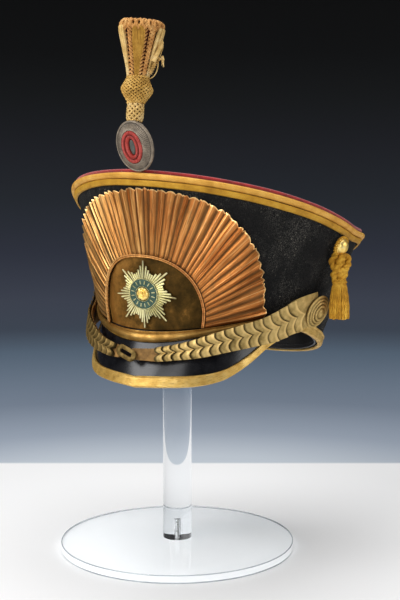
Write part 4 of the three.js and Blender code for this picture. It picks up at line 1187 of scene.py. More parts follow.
def strap_point(side, part, cross, offset):
    """Point on a strap: part of its length, cross position from -1 to 1, and offset."""
    part, cross, offset = np.broadcast_arrays(np.minimum(part, 1), cross, offset)
    x, y, half = (np.interp(part, STRAP_PARTS, STRAP_POINTS[:, k]) for k in range(3))
    way_x, way_y = (np.interp(part, STRAP_PARTS, STRAP_WAYS[:, k]) for k in range(2))
    length = np.hypot(way_x, way_y)
    shift = cross * half
    angle = (x + way_y / length * shift) / STRAP_MM_PER_DEGREE
    height = y - way_x / length * shift
    near = (x / STRAP_MM_PER_DEGREE - RIGHT_BULGE["angle"]) / RIGHT_BULGE["spread"]
    bulge = RIGHT_BULGE["out"] * np.exp(-near * near) if side < 0 else 0
    return wall(side * angle, height, offset + bulge, STRAP_SOFTNESS)


def strap_underside(side, part):
    return STRAP_STANDOFF + (RIGHT_BULGE["lift"] if side < 0 else 0) * part


def strap_leather(side, last):
    part = np.linspace(STRAP_START, last, 120)[:, None]
    cross = np.array([-0.9, -0.88, -0.82, -0.5, 0, 0.5, 0.82, 0.88, 0.9])
    rounding = np.array([-0.35, -0.1, 0, 0, 0, 0, 0, -0.1, -0.35])
    low = strap_underside(side, part)
    outside = strap_point(side, part, cross, low + STRAP_THICKNESS + rounding)
    inside = strap_point(side, part, cross, low - rounding)
    return sheet(outside, inside)


def scale_marks():
    sizes = np.linspace(1, SCALE_SHRINK, SCALES)
    span = SCALE_SPAN["end"] - SCALE_SPAN["start"]
    return SCALE_SPAN["start"] + span * np.concatenate([[0], np.cumsum(sizes)]) / sizes.sum()


def bracket(cross):
    """Two lobes with a point between them, for an edge that faces the rosette."""
    from_point = np.abs(cross)
    return 0.5 * np.exp(-from_point * 3.2) - 0.2 * np.sin(np.pi * from_point)


SCALE_CROSS = np.sin(np.linspace(-90, 90, 41) * DEG)[None, :]


def one_scale(side, start, end, seed, overlap=SCALE_OVERLAP):
    """A domed scale with a rolled free edge by the rosette; its root lies under the next."""
    random = np.random.default_rng(seed)
    pitch = end - start
    # run from the free edge (mm), then parts of the pitch; drop of the top face
    runs = np.array([0.0, 0.12, 0.35, 0.75, 1.3, 2.2])
    length = STRAP_LENGTH
    parts = np.concatenate([start + runs / length, start + pitch * np.linspace(0.42, 1 + overlap, 8)])
    drop = np.concatenate([[0.5, 0.18, 0.0, 0.0, 0.12, 0.16], np.full(8, 0.16)])
    along = (parts - start) / (pitch * (1 + overlap))
    lift = (SCALE_LIFT + random.uniform(-0.12, 0.12)) * np.clip(1 - along, 0, None) ** 1.15
    tip = random.uniform(-0.02, 0.02)
    edge = parts[:, None] - pitch * (bracket(SCALE_CROSS) + tip * SCALE_CROSS)
    lift = lift * (0.6 if side < 0 else 1)
    dome = (0.7 if side < 0 else 1.3) * (1 - SCALE_CROSS ** 2)
    low = strap_underside(side, parts)[:, None] + STRAP_THICKNESS + GAP + dome
    wide = SCALE_CROSS * random.uniform(0.985, 1.0)
    rim = 0.25 * ease(np.abs(SCALE_CROSS), 0.93, 1.0)
    outside = strap_point(side, edge, wide, low + (lift + SCALE_THICKNESS - drop)[:, None] - rim)
    inside = strap_point(side, edge, wide, low + lift[:, None])
    # painted highlight along the rolled free edge, and painted shadow towards the root, under the next scale
    bright = -np.exp(-((along * pitch * length - 0.9) / 0.9) ** 2)
    dark = ease(along, 0.52, 0.8)
    shade = np.broadcast_to((bright + dark)[:, None], outside.shape[:2])
    return sheet(outside, inside, shade=shade)


def end_plate(side):
    """Flat plate that runs from inside the rosette's stem to under the first scale."""
    part = np.linspace(0.0, 0.155, 18)[:, None]
    cross = np.linspace(-1, 1, 25)[None, :]
    low = strap_underside(side, part) + STRAP_THICKNESS + 0.6 * GAP
    rounding = 0.2 * ease(np.abs(cross), 0.95, 1.0)
    return sheet(strap_point(side, part, cross, low + 0.75 - rounding), strap_point(side, part, cross, low))


def strap_length():
    middle = strap_point(1, np.linspace(0, 1, 200), 0.0, STRAP_STANDOFF)
    return np.linalg.norm(np.diff(middle, axis=0), axis=1).sum()


STRAP_LENGTH = strap_length()


def rosette():
    """Round end plate with a stepped boss of concentric rings."""
    r = ROSETTE_RADIUS
    rows = np.concatenate([
        [(0.2, 0.0), (7.2, 0.0), (7.4, 0.2), (7.4, 7.4)],
        [(r - 0.5, 7.5)],
        arc((r - 0.6, 8.1), (0.6, 0.6), -70, 80, 6),
        [(r * 0.85, 9.0)],
        arc((r * 0.78, 9.1), (0.7, 1.0), 0, 110, 7),
        [(r * 0.69, 9.5)],
        arc((r * 0.62, 9.7), (0.75, 1.1), 0, 110, 7),
        [(r * 0.51, 10.2)],
        arc((r * 0.44, 10.5), (0.8, 1.1), 0, 115, 7),
        [(r * 0.31, 11.0)],
        arc((0.0, 10.9), (r * 0.29, 2.1), 5, 87, 10),
    ])
    # painted shade in the grooves between the rings, painted highlight on the ridges
    grooves = [0.85, 0.69, 0.51, 0.31]
    shade = [max(math.exp(-((radius / r - g) / 0.025) ** 2) for g in grooves) for radius in rows[:, 0]]
    bright = [max(math.exp(-((radius / r - g) / 0.03) ** 2) for g in (0.95, 0.77, 0.61, 0.43))
              for radius in rows[:, 0]]
    shade = np.where(rows[:, 1] > 8.5, 0.7 * np.array(shade) - 0.8 * np.array(bright), 0)
    return turned(rows, 72, shade)


def strap_loop():
    """Flat oval end with a slot, at the tip of the right strap."""
    low = strap_underside(-1, 1) + STRAP_THICKNESS + GAP
    turn = (turns_of(72) + 0.02)[:, None]
    # half width, straight half length, height
    rows = np.array([
        (1.5, 4.2, 0.0), (4.2, 4.6, 0.0), (4.45, 4.6, 0.3), (4.45, 4.6, 0.9), (4.2, 4.6, 1.25),
        (3.7, 4.6, 1.35), (2.1, 4.3, 1.35), (1.5, 4.2, 1.25), (1.3, 4.2, 0.9), (1.3, 4.2, 0.3),
    ])
    along = rows[:, 0] * np.cos(turn) + rows[:, 1] * np.tanh(np.cos(turn) * 9)
    over = rows[:, 0] * np.sin(turn)
    across = LOOP["across"] + along * math.cos(LOOP["lean"]) - over * math.sin(LOOP["lean"])
    height = LOOP["height"] + along * math.sin(LOOP["lean"]) + over * math.cos(LOOP["lean"])
    return loft(wall(across / STAR_MM_PER_DEGREE, height, low + rows[:, 2], STRAP_SOFTNESS), looped=True)


# ---- Cockade ----

cockade_up = unit(COCKADE_TOP - COCKADE_FOOT)
cockade_half = np.linalg.norm(COCKADE_TOP - COCKADE_FOOT) / 2
cockade_centre = (COCKADE_TOP + COCKADE_FOOT) / 2
cockade_side = unit(np.array([1.0, 0, 0]) - cockade_up * cockade_up[0])
cockade_front = unit(np.cross(cockade_side, cockade_up))


def cockade_oval(rows, looped=True, ribs=0, rib_rows=None, sides=288, shade=None):
    """Oval ring or solid from rows of inset and depth to the front, with radial ribs; painted shade goes in
    the rib valleys and where shade is given.
    """
    rows = np.asarray(rows, float)
    turn = turns_of(sides)[:, None]
    rib = np.zeros((sides, len(rows)))
    if ribs:
        rib = 0.17 * np.cos(turn * ribs) * np.asarray(rib_rows)
    rings = (cockade_centre
             + ((COCKADE_HALF_WIDTH - rows[:, 0]) * np.cos(turn))[..., None] * cockade_side
             + ((cockade_half - rows[:, 0]) * np.sin(turn))[..., None] * cockade_up
             + (rows[:, 1] + rib)[..., None] * cockade_front)
    # painted shade in the valleys between ribs
    dark = np.maximum(0, -rib / 0.17) * 0.7
    if shade is not None:
        dark = dark + np.asarray(shade)
    if looped:
        return loft(rings, looped=True, shade=dark)
    return loft(rings.transpose(1, 0, 2), shade=dark.T)


def cockade_disc():
    rows = [(0.3, -0.9), (0, -0.6), (0, 0.6), (0.35, 1.15), (0.85, 1.4), (1.3, 1.3), (1.55, 1.05),
            (2.2, 1.5), (3.4, 2.5), (4.8, 3.5), (5.9, 4.2), (6.4, 4.3), (6.4, -0.9)]
    ribbed = [0, 0, 0, 0, 0, 0, 0.4, 1, 1, 1, 0.7, 0, 0]
    # painted shade in the groove inside the slope
    groove_shade = [0, 0, 0, 0, 0, 0.3, 1, 0.2, 0, 0, 0, 0.2, 0]
    return cockade_oval(rows, ribs=72, rib_rows=ribbed, shade=groove_shade)


def cockade_ring():
    rows = [(6.8, -0.4), (6.75, 4.2), (7.0, 4.8), (7.7, 5.3), (8.6, 5.2), (9.2, 4.6), (9.5, 4.1),
            (9.8, 4.6), (10.6, 5.15), (11.5, 4.9), (12.1, 4.3), (12.3, 3.8), (12.3, -0.4)]
    ribbed = [0, 0, 0.5, 0.8, 0.5, 0, 0, 0, 0.6, 0.6, 0, 0, 0]
    # painted shade in the grooves between and beside the red rings
    groove_shade = [0, 0, 0, 0, 0.1, 0.8, 1, 0.8, 0.1, 0, 0.3, 0.6, 0]
    return cockade_oval(rows, ribs=90, rib_rows=ribbed, shade=groove_shade)


def cockade_core():
    rows = [(12.6, -0.4), (12.55, 3.0), (12.8, 3.4), (13.2, 3.7), (13.6, 3.9), (14.0, 4.0)]
    return cockade_oval(rows, looped=False, sides=72)


# ---- Plume ----

plume_axis = unit(PLUME_TOP - PLUME_FOOT)
PLUME = turn_matrix(
    Vector((0, 0, 1)).rotation_difference(Vector(plume_axis)).to_matrix(), PLUME_FOOT
)
NECK_SHAPE = np.array([(0, 4.6), (1.2, 5.0), (3, 5.35), (8, 5.35), (11.8, 5.2), (12.6, 4.7)])
KNOT_SHAPE = np.array([(13.4, 5.6), (14.2, 6.4), (17.2, 8.5), (20.4, 10.5), (22.2, 10.7), (25.6, 9.1),
                       (29.0, 7.4), (29.8, 6.8)])
BUNDLE_SHAPE = np.array([(30.4, 6.6), (35, 7.4), (40, 8.5), (52, 11.6), (59, 13.5), (63, 14.3), (66.4, 14.4)])


def shape_radius(shape, height):
    return np.interp(height, shape[:, 0], shape[:, 1])


def core_of(shape, inset, low=None, high=None):
    """Plain turned body just under a net of cords."""
    heights = np.linspace(shape[0, 0] if low is None else low, shape[-1, 0] if high is None else high, 24)
    rows = [(max(0.4, shape_radius(shape, h) - inset), h) for h in heights]
    return turned([(0.3, rows[0][1]), *rows, (0.3, rows[-1][1])], 40)


def net(shape, strands, turns, radius, steps=44):
    """Cords wound both ways round a turned shape, passing over and under each other."""
    heights = np.linspace(shape[0, 0] + 0.2, shape[-1, 0] - 0.2, steps)
    climb = heights - heights[0]
    solids = []
    for way in (1, -1):
        for k in range(strands):
            angle = k * TAU / strands + way * turns * TAU * climb / climb[-1]
            lift = 0.22 * way * np.cos(angle * strands)
            reach = shape_radius(shape, heights) - 0.1 + lift
            solids.append(tube(polar(reach, angle, heights), radius, sides=6))
    return joined(solids)


def cord_ring(radius, height, thick, tilt=0.0):
    turn = turns_of(72)
    path = polar(radius, turn, height + tilt * np.cos(turn))
    return tube(path, thick * 0.62, sides=8, looped=True, twist=0.28, strands=2, spread=0.72)


VIEW_TURN = VIEW_AZIMUTH - math.pi / 2
PLAIT_RISE = 2.35
PLAIT_HALF_TURN = 0.23


def bundle_width(height):
    """How far the bundle has opened at a height, from 0 at its foot to 1 at its top."""
    return ease(height, 26, 68)


def plait(turn, low, high, way):
    """One side of a plait on the bundle: short fat cords, each rising across the column."""
    solids = []
    count = int((BUNDLE_SHAPE[-1, 0] - BUNDLE_SHAPE[0, 0]) / PLAIT_RISE)
    for k in range(-1, count + 1):
        t = np.linspace(-0.12, 1.12, 13)
        base = BUNDLE_SHAPE[0, 0] + 0.8 + k * PLAIT_RISE
        width = low + (high - low) * bundle_width(base)
        height = base + 0.92 * width * t
        keep = (height > BUNDLE_SHAPE[0, 0] - 0.2) & (height < BUNDLE_SHAPE[-1, 0] + 0.6)
        if keep.sum() < 6:
            continue
        t, height = t[keep], height[keep]
        swell = 0.75 * np.sin(np.pi * np.clip(t, 0, 1))
        reach = shape_radius(BUNDLE_SHAPE, height) - 0.7 + swell
        angle = turn + way * (t - 0.5) * width / shape_radius(BUNDLE_SHAPE, height)
        path = polar(reach, angle, height)
        thick = 0.88 * np.sin(np.pi * np.clip((t + 0.14) / 1.28, 0.04, 0.96)) ** 0.5
        solids.append(tube(path, thick, sides=8, squash=0.9))
    return solids


def bundle_columns():
    """Places round the bundle: turn of each column's middle and how it is made."""
    # turn from the viewer's side (radians), kind
    return (
        (-0.82, "left"), (-0.08, "strip"), (0.44, "right"), (0.92, "right"),
        (-1.35, "smooth"), (1.38, "smooth"),
        (1.85, "left"), (2.35, "right"), (math.pi - 0.13, "strip"), (-2.6, "left"), (-2.1, "right"),
    )


def bundle_plaits():
    solids = []
    for turn, kind in bundle_columns():
        if kind in ("left", "right"):
            for side in (-1, 1):
                solids += plait(VIEW_TURN + turn + side * PLAIT_HALF_TURN, 2.6, 4.4, -side)
    return joined(solids)


def over_top():
    """Plaited cords that close the bundle's top, bent over its edge to the inside."""
    solids = []
    count = 44
    rows = [(14.2, 61.2), (14.7, 63.6), (14.5, 65.6), (13.2, 67.0), (11.4, 67.2), (9.6, 65.8),
            (7.6, 62.5)]
    for k in range(count):
        random = np.random.default_rng(200 + k)
        turn = VIEW_TURN + k * TAU / count
        lean = 0.2 if k % 2 else -0.2
        reach = np.array([r for r, _ in rows]) - (0.5 if k % 2 else 0.0)
        height = np.array([h for _, h in rows]) + random.uniform(-0.35, 0.35)
        angle = turn + np.linspace(-lean, lean, len(rows))
        path = polar(reach, angle, height)
        solids.append(tube(smooth_path(path, 26), 0.86, sides=8, twist=0.12, strands=2, spread=0.5))
    return joined(solids)


def bundle_strip(turn, low, high, threads, seed):
    """Flat band of fine gold threads up the bundle, widening to its top."""
    random = np.random.default_rng(seed)
    solids = []
    for k in range(threads):
        side = (k - (threads - 1) / 2) / (threads - 1)
        heights = np.linspace(30.6, 64.2, 40)
        width = low + (high - low) * ease(heights, 28, 60)
        reach = shape_radius(BUNDLE_SHAPE, heights) + 0.75 - 0.6 * abs(side)
        reach = reach - 1.6 * ease(heights, 62.6, 64.2)
        angle = turn + side * width / reach + random.uniform(-0.006, 0.006)
        path = polar(reach, angle, heights)
        solids.append(tube(path, width / threads * 0.62, sides=8))
    return joined(solids)


def bundle_strips():
    solids = []
    for k, (turn, kind) in enumerate(bundle_columns()):
        if kind == "strip":
            solids.append(bundle_strip(VIEW_TURN + turn, 2.8, 8.2, 9, 71 + k))
    return joined(solids)


def bundle_edges():
    """Smooth fat gold strands at the bundle's two sides."""
    solids = []
    for k, (turn, kind) in enumerate(bundle_columns()):
        if kind == "smooth":
            solids.append(bundle_strip(VIEW_TURN + turn, 4.2, 9.4, 4, 91 + k))
    return joined(solids)


def loose_strands(start_turn):
    """Pale stray cords at the bundle's side, with a thin loop and a frayed yellow end."""
    random = np.random.default_rng(77)

    def at(turn, reach, height):
        return np.array([reach * math.cos(start_turn + turn), reach * math.sin(start_turn + turn), height])

    stray = smooth_path([at(-0.3, 11.4, 41), at(-0.2, 13.0, 46), at(-0.1, 14.3, 51), at(0.0, 14.6, 55)], 60)
    solids = [tube(stray, 1.2, sides=8, squash=1.5)]
    loop = smooth_path([at(0.2, 7.4, 29.5), at(0.15, 10.5, 31.5), at(0.1, 12.6, 35), at(0.0, 13.6, 39.5),
                        at(0.0, 12.9, 42.3), at(0.0, 11.2, 42.0), at(0.1, 9.6, 38)], 60)
    solids.append(tube(loop, 0.42, sides=6))
    twig = smooth_path([at(0.0, 15.2, 57), at(0.0, 16.0, 52), at(0.0, 15.2, 48), at(0.0, 14.6, 45)], 40)
    solids.append(tube(twig, 0.35, sides=6))
    knot = at(0.0, 14.9, 44.0)
    root = smooth_path([at(-0.2, 9.0, 33), at(-0.1, 10.8, 38), at(0.0, 12.6, 42.5), knot], 30)
    solids.append(tube(root, 0.95, sides=8, twist=0.3, strands=2, spread=0.7))
    for _ in range(18):
        out = unit(at(0, 1, 0) + random.normal(0, 0.6, 3) * [1, 1, 0.5])
        reach = random.uniform(1.6, 3.6)
        end = knot + out * reach * 0.9 + np.array([0, 0, -random.uniform(0.5, 6.0)])
        middle = knot + out * reach * 0.6 + np.array([0, 0, random.uniform(-1.4, 1.4)])
        solids.append(tube(smooth_path([knot, middle, end], 12), np.linspace(0.5, 0.14, 12), sides=6))
    return joined(solids)


def plume_pin():
    foot = bend(wall(0, TOP_DISC_HEIGHT + TOP_DISC_THICKNESS + 2.5 * GAP, -9), HAT)
    head = PLUME_FOOT - plume_axis * 2 * GAP
    shoulder = np.array([head[0] - 0.6, foot[1] - 3, foot[2] + 14])
    return tube(smooth_path([foot, shoulder, head], 40), 1.2, sides=16)


# ---- Side cord ----

def cord_boss():
    rows = np.concatenate([
        [(0.2, 0.0), (5.2, 0.0), (5.2, 1.6), (7.1, 1.7)],
        arc((7.1, 2.4), (0.5, 0.7), -80, 80, 7),
        [(6.5, 3.2)],
        arc((6.0, 3.4), (0.45, 0.6), 0, 90, 4),
        arc((0.0, 3.6), (5.6, 4.0), 8, 87, 14),
    ])
    return turned(rows, 64)


def boss_ring():
    """Twisted cord wound round the boss's foot."""
    return tube(polar(6.9, turns_of(80), 2.3), 0.95, sides=8, looped=True, twist=0.22, strands=2, spread=0.7)


def side_view(right, near, up):
    """World point by distances to the viewer's right, towards the viewer, and up."""
    sine, cosine = math.sin(VIEW_AZIMUTH), math.cos(VIEW_AZIMUTH)
    return CORD_PLACE + np.array([right * cosine + near * sine, right * sine - near * cosine, up])


def cord_knot():
    """Fat wound cord tied under the boss: two lobes at the front, a larger one at the back."""
    first = [(-0.6, 0.4, 241.0), (-4.0, 1.4, 238.6), (-5.9, 1.8, 234.4), (-4.4, 3.2, 230.4),
             (-0.6, 4.0, 228.2), (3.4, 2.4, 228.8), (6.0, 0.4, 232.4), (6.2, -0.6, 236.6),
             (3.8, 0.6, 239.2), (1.0, 3.0, 236.6),
             (-1.2, 4.6, 232.4), (-3.6, 4.2, 227.8), (-4.6, 2.6, 224.2), (-3.4, 0.8, 220.6)]
    second = [(4.6, 1.6, 231.6), (3.8, 2.2, 227.0), (2.8, 1.8, 223.4), (1.6, 0.6, 220.4)]
    solids = []
    middle = np.array([side_view(0.0, 0.6, height) for height in np.linspace(238.5, 221, 20)])
    solids.append(tube(middle, 3.3 - 0.8 * np.cos(np.linspace(0, 2, 20) * TAU), sides=12))
    for route, count in ((first, 150), (second, 40)):
        path = smooth_path([side_view(*point) for point in route], count)
        solids.append(tube(path, 2.0, sides=12, twist=0.1, strands=2, spread=0.42))
    return joined(solids)


def cord_collar():
    """Wound neck between the knot and the fringe."""
    solids = []
    for height, radius in ((220.6, 4.0), (219.0, 4.6)):
        path = CORD_PLACE + polar(radius, turns_of(60), height)
        solids.append(tube(path, 0.8, sides=8, looped=True, twist=0.25, strands=2, spread=0.6))
    return joined(solids)


def tassel_fringe():
    """Fat bullion cords hanging close together, spreading a little to an even end."""
    solids = []
    for ring, count, reach in ((0, 24, 1.0), (1, 12, 0.66)):
        for k in range(count):
            random = np.random.default_rng(500 + 40 * ring + k)
            turn = (k + random.uniform(-0.16, 0.16)) * TAU / count
            low = (6.5 + random.uniform(-0.25, 0.25)) * reach
            drift = random.uniform(-0.1, 0.1)
            end = 191.4 + random.uniform(-0.5, 0.9)
            rows = [(3.9 * reach, turn, 218.6), (4.8 * reach, turn, 215.6),
                    (5.9 * reach, turn + drift / 2, 209), (low, turn + drift, 200),
                    (low * 0.97, turn + drift, end)]
            path = [CORD_PLACE + [r * math.cos(a), r * math.sin(a), h] for r, a, h in rows]
            thick = np.linspace(0.7, 0.98, 46)
            solids.append(tube(smooth_path(path, 46), thick, sides=8, twist=0.07, strands=2, spread=0.34))
    return joined(solids)


def tassel_core():
    rows = [(0.3, 218.4), (3.6, 218.4), (4.4, 214.0), (5.4, 208.0), (6.0, 200.0), (6.0, 192.4), (0.3, 192.2)]
    return placed(turned(rows, 32), turn_matrix(np.eye(3), CORD_PLACE))


# ---- Stand ----

BORE_RADIUS = STUD_RADIUS + STUD_CLEARANCE


def stand_base():
    bevel = 0.5
    rows = np.concatenate([
        [(0.02, 0.0)],
        arc((BASE_RADIUS - bevel, bevel), (bevel, bevel), -90, 0, 5),
        arc((BASE_RADIUS - bevel, BASE_THICKNESS - bevel), (bevel, bevel), 0, 90, 5),
        [(BORE_RADIUS + 0.15, BASE_THICKNESS), (BORE_RADIUS, BASE_THICKNESS - 0.15)],
        [(BORE_RADIUS, STUD_BOTTOM), (0.02, STUD_BOTTOM)],
    ])
    return turned(rows, 192)


def stand_base_edge():
    """Fine grey lines along the polished upper and lower edges, as a painted reflection in them."""
    rings = []
    for height, thick in ((BASE_THICKNESS - 0.45, 0.34), (0.6, 0.42)):
        reach = BASE_RADIUS - 0.1 - thick
        rings.append(tube(polar(reach, turns_of(192), height), thick, sides=8, looped=True))
    return joined(rings)


def stand_post():
    normal = HAT[:3, :3] @ np.array([0, 0, 1.0])
    underside = bend(np.array([0, 0, TOP_DISC_HEIGHT]), HAT)
    dome_centre = (normal @ underside - POST_DOME_RADIUS - GAP) / normal[2]
    dome_edge = math.asin(POST_RADIUS / POST_DOME_RADIUS)
    bend_angles = np.linspace(dome_edge, 0.01, 16)
    dome = np.stack([POST_DOME_RADIUS * np.sin(bend_angles),
                     dome_centre + POST_DOME_RADIUS * np.cos(bend_angles)], -1)
    low = BASE_THICKNESS + GAP
    rows = np.concatenate([
        [(0.02, STUD_TOP + STUD_CLEARANCE), (BORE_RADIUS, STUD_TOP + STUD_CLEARANCE)],
        [(BORE_RADIUS, low), (POST_RADIUS - 0.2, low), (POST_RADIUS, low + 0.2)],
        dome,
    ])
    return turned(rows, 96)


def stand_stud():
    pitch, rows = 0.5, [(0.2, STUD_BOTTOM + STUD_CLEARANCE)]
    for k in range(int((STUD_TOP - STUD_BOTTOM - 0.6) / pitch)):
        height = STUD_BOTTOM + STUD_CLEARANCE + k * pitch
        rows += [(STUD_RADIUS - 0.25, height), (STUD_RADIUS, height + pitch / 2)]
    rows += [(STUD_RADIUS - 0.3, STUD_TOP - 0.1), (0.2, STUD_TOP)]
    return turned(rows, 24)


# ---- Assembly ----

def make_all(frame_of, *rows):
    """Pieces of one frame; each row is a name, solid, finish, slot and the CAD nodes."""
    for row in rows:
        make(*row, frame_of=frame_of)


def build_hat():
    make_all(
        HAT,
        ("crown_felt", crown_shell(), FELT, "felt_black", "crown_shell"),
        ("crown_top_leather", crown_top(), BLACK_LEATHER, "leather_black", "crown_top"),
        ("sweatband_leather", sweatband(), BLACK_LEATHER, "leather_black", "sweatband"),
        ("sweatband_stitches", sweatband_stitches(), BLACK_LEATHER, "leather_black"),
        ("piping_cloth", rim_piping(), RED_CLOTH, "cloth_red", "rim_piping"),
        ("roll_lace", rim_roll(), ROLL_LACE, "lace_gold", "rim_roll"),
        ("band_lace", lace_band(), BAND_LACE, "lace_gold", "lace_band"),
        ("binding_leather", lower_binding(), GILT_LEATHER, "leather_gilt", "lower_binding"),
        ("visor_patent", visor(), PATENT, "patent_black", "visor"),
        ("visor_rim_leather", visor_rim(), GILT_LEATHER, "leather_gilt", "visor_rim"),
    )


def build_plate():
    make_all(
        HAT,
        ("fan_pleats", fan_plate(), COPPER_GILT, "copper_gilt", "fan_plate"),
        ("arch_brass", arch_plate(), OLD_BRASS, "brass_old", "arch_plate"),
        ("arch_lines", arch_rim(), COPPER_GILT, "brass_old", "arch_rim"),
        ("bar_moulding", base_bar(), BAR_GILT, "copper_gilt", "base_bar"),
        ("star_bars", star_rays(), STAR_SILVER, "silver_gilt", "star_rays"),
        ("star_enamel", star_ring(), GREEN_ENAMEL, "enamel_green", "star_ring"),
        ("star_beads", star_beads(), STAR_SILVER, "silver_gilt"),
        ("star_rosette", star_centre(), GOLD, "gold_bright", "star_centre"),
    )


def build_straps():
    marks = scale_marks()
    for word, side, brass in (("left", 1, SCALE_BRASS), ("right", -1, DULL_BRASS)):
        leather = strap_leather(side, 1 if side > 0 else 0.9)
        make(f"strap_leather_{word}", leather, BROWN_LEATHER, "leather_brown", f"strap_{word}", frame_of=HAT)
        for k in range(SCALES_APART):
            scale = one_scale(side, marks[k], marks[k + 1], 300 + 50 * (side > 0) + k)
            if k == 0:
                scale = joined([scale, end_plate(side)])
            make(f"chin_scale_{word}_{k + 1:02d}", scale, brass, "scale_brass",
                 f"scale_{word}_{k + 1:02d}", frame_of=HAT)
        front = joined(one_scale(side, marks[k], marks[k + 1], 400 + 50 * (side > 0) + k,
                                 0.0 if k == SCALES - 1 else SCALE_OVERLAP)
                       for k in range(SCALES_APART, SCALES))
        make(f"chin_scales_{word}_front", front, brass, "scale_brass", f"scales_{word}_front",
             frame_of=HAT)
        boss = placed(rosette(), stand_out(side * STRAP_ROUTE[0, 0], STRAP_ROUTE[0, 1], GAP))
        make(f"rosette_rings_{word}", boss, brass, "scale_brass", f"rosette_{word}", frame_of=HAT)
    make("loop_plate", strap_loop(), DULL_BRASS, "scale_brass", "strap_loop", frame_of=HAT)


def build_plume():
    make("cockade_ribs", cockade_disc(), COCKADE_SILVER, "cockade_silver", "cockade_disc")
    make("cockade_red_rings", cockade_ring(), COCKADE_RED, "cockade_red", "cockade_ring")
    make("cockade_middle", cockade_core(), COCKADE_CORE, "cockade_core", "cockade_core")
    make("pin_wire", plume_pin(), STEEL, "steel", "plume_pin")
    make("neck_core", core_of(NECK_SHAPE, 0.7), GAP_SHADE_CORD, "cord_gold", frame_of=PLUME)
    make("neck_net", net(NECK_SHAPE, 9, 0.42, 0.78), PALE_CORD, "cord_gold", "plume_neck", frame_of=PLUME)
    make("knot_core", core_of(KNOT_SHAPE, 0.8), GAP_SHADE_CORD, "cord_gold", frame_of=PLUME)
    make("knot_net", net(KNOT_SHAPE, 18, 0.4, 0.62, steps=52), GOLD_CORD, "cord_gold", "plume_knot",
         frame_of=PLUME)
    rings = joined([cord_ring(5.6, 13.0, 1.0, 0.5), cord_ring(7.1, 30.0, 1.0, 0.4), cord_ring(4.9, 0.8, 0.7)])
    make("plume_cord_rings", rings, GOLD_CORD, "cord_gold", frame_of=PLUME)
    make_all(
        PLUME,
        ("bundle_core", core_of(BUNDLE_SHAPE, 1.5, 30.6, 62.5), GAP_SHADE_CORD, "cord_gold"),
        ("bundle_plaits", bundle_plaits(), ROSE_CORD, "cord_gold", "plume_bundle"),
        ("bundle_top_cords", over_top(), ROSE_CORD, "cord_gold"),
        ("bundle_strips", bundle_strips(), STRIP_GOLD, "cord_gold"),
        ("bundle_edges", bundle_edges(), PALE_CORD, "cord_gold"),
        ("bundle_stray_cord", loose_strands(VIEW_TURN + 1.35), PALE_CORD, "cord_gold"),
    )


def build_side_cord():
    boss_place = HAT @ stand_out(BOSS_ANGLE, BOSS_HEIGHT, BOSS_STANDOFF)
    make("boss_dome", cord_boss(), GOLD, "gold_bright", "cord_boss", frame_of=boss_place)
    make("boss_cord_ring", boss_ring(), ORANGE_CORD, "cord_gold", frame_of=boss_place)
    make("knot_cord", cord_knot(), ORANGE_CORD, "cord_gold", "cord_knot")
    make("knot_collar", cord_collar(), ORANGE_CORD, "cord_gold")
    make("tassel_core", tassel_core(), TASSEL_SHADE, "cord_gold")
    make("tassel_fringe", tassel_fringe(), ORANGE_CORD, "cord_gold", "cord_tassel")


def build_stand():
    make("stand_base_clear", stand_base(), ACRYLIC, "acrylic_clear", "stand_base", sharp=12)
    make("stand_base_edge", stand_base_edge(), EDGE_REFLECTION, "acrylic_clear")
    make("stand_post_clear", stand_post(), ACRYLIC, "acrylic_clear", "stand_post", sharp=12)
    make("stand_stud_thread", stand_stud(), STEEL, "steel", "stand_stud")


build_hat()
build_plate()
build_straps()
build_plume()
build_side_cord()
build_stand()


# ---- Floor, light and camera ----

def view_point(right, back, up):
    """World point by metres to the right of, behind (from the viewer) and above the stand."""
    sine, cosine = math.sin(VIEW_AZIMUTH), math.cos(VIEW_AZIMUTH)
    return (right * cosine - back * sine, right * sine + back * cosine, up)


FLOOR_SIDES = 96
# metres: how far the floor lies above the base's underside, and its back edge behind the stand
FLOOR_RISE = 0.00005
FLOOR_EDGE = 0.293


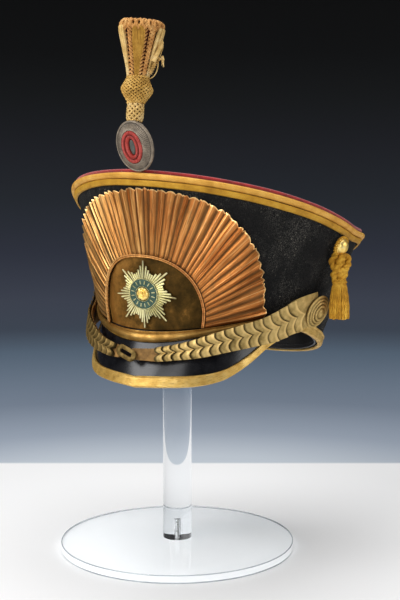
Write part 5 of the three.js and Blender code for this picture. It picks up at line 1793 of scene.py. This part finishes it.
def floor():
    """Pale floor with a straight back edge; beyond it the ground turns up into a dark blue-grey backdrop with
    painted light, pale near the stand and fading to black far off.
    """
    flat, curve, high = 1.9, 1.2, 3.4
    bend_up = arc((flat, curve), (curve, curve), -90, 0, 24)
    profile = np.concatenate([[(r, 0.0) for r in (0.02, 0.5, 1.2)], bend_up, [(flat + curve, high)]])
    profile[:, 1] += FLOOR_RISE
    points = np.concatenate([polar(r, turns_of(FLOOR_SIDES), z) for r, z in profile])
    faces = []
    for low in range(0, len(points) - FLOOR_SIDES, FLOOR_SIDES):
        top = low + FLOOR_SIDES
        for j in range(FLOOR_SIDES):
            after = (j + 1) % FLOOR_SIDES
            faces.append((low + j, low + after, top + after, top + j))
    faces.append(tuple(range(FLOOR_SIDES - 1, -1, -1)))
    mesh = bpy.data.meshes.new("floor")
    mesh.from_pydata(points.tolist(), [], faces)
    mesh.shade_smooth()
    pale = Finish("floor_pale", Roughness=0.8, Specular_IOR_Level=0.2)
    place = pale.node("TexCoord", out="Object")
    distance = pale.node("VectorMath", out="Value", links={0: place}, operation="LENGTH")
    away = pale.node("VectorMath", out="Value", links={0: place}, operation="DOT_PRODUCT",
                     values={1: view_point(0, 1, 0)})
    behind = pale.ramp(away, (FLOOR_EDGE - 0.001, 0.0), (FLOOR_EDGE + 0.001, 1.0))
    outside = pale.ramp(distance, (0.7, 0.0), (0.9, 1.0))
    # painted light: the backdrop's colour fades from pale near the stand to black far off
    backdrop = pale.ramp(
        pale.maths("DIVIDE", distance, 4.0),
        (0.083, (0.50, 0.55, 0.61)), (0.12, (0.32, 0.37, 0.45)), (0.18, (0.22, 0.27, 0.35)),
        (0.35, (0.23, 0.32, 0.44)), (0.565, (0.185, 0.215, 0.30)), (0.64, (0.11, 0.125, 0.18)),
        (0.70, (0.073, 0.085, 0.107)), (0.742, (0.055, 0.059, 0.074)), (0.778, (0.035, 0.038, 0.041)),
        (0.803, (0.022, 0.023, 0.024)), (0.83, (0.017, 0.017, 0.017)),
    )
    pale.colour(pale.mix(pale.maths("MAXIMUM", behind, outside), (0.86, 0.86, 0.865), backdrop))
    mesh.materials.append(pale.material)
    made = bpy.data.objects.new("floor", mesh)
    bpy.context.scene.collection.objects.link(made)


LIT_POINT = Vector((0.02, -0.02, 0.24))


def area_light(name, place, size, power):
    lamp = bpy.data.lights.new(name, "AREA")
    lamp.shape = "RECTANGLE"
    lamp.size, lamp.size_y = size
    lamp.energy = power
    made = bpy.data.objects.new(name, lamp)
    made.location = place
    made.rotation_euler = (LIT_POINT - Vector(place)).to_track_quat("-Z", "Y").to_euler()
    bpy.context.scene.collection.objects.link(made)


CAMERA_PITCH = 3.7487 * DEG
CAMERA_HEIGHT = 0.255094
CAMERA_DISTANCE = 0.810794
CAMERA_SIDE = 0.0186


def camera():
    lens = bpy.data.cameras.new("camera")
    lens.lens = 60
    lens.sensor_width = 36
    lens.clip_start = 0.01
    made = bpy.data.objects.new("camera", lens)
    made.location = view_point(CAMERA_SIDE, -CAMERA_DISTANCE, CAMERA_HEIGHT)
    made.rotation_euler = (math.pi / 2 - CAMERA_PITCH, 0, VIEW_AZIMUTH)
    bpy.context.scene.collection.objects.link(made)
    bpy.context.scene.camera = made


def surroundings():
    world = bpy.data.worlds.new("studio")
    world.use_nodes = True
    world.node_tree.nodes["Background"].inputs["Color"].default_value = (0.6, 0.6, 0.6, 1)
    world.node_tree.nodes["Background"].inputs["Strength"].default_value = 0.3
    bpy.context.scene.world = world
    bpy.context.scene.view_settings.view_transform = "Standard"


floor()
camera()
surroundings()
# name, metres right of, behind and above the stand, size, power
for name, place, size, power in (
    ("key_left", (-1.0, -0.8, 0.9), (0.9, 1.1), 18),
    ("front_left", (-0.3, -1.25, 0.5), (0.7, 0.6), 4),
    ("fill_right", (1.1, -0.5, 0.6), (0.7, 0.9), 6.5),
    ("top", (0.0, 0.1, 1.35), (1.0, 1.0), 12),
):
    area_light(name, view_point(*place), size, power)
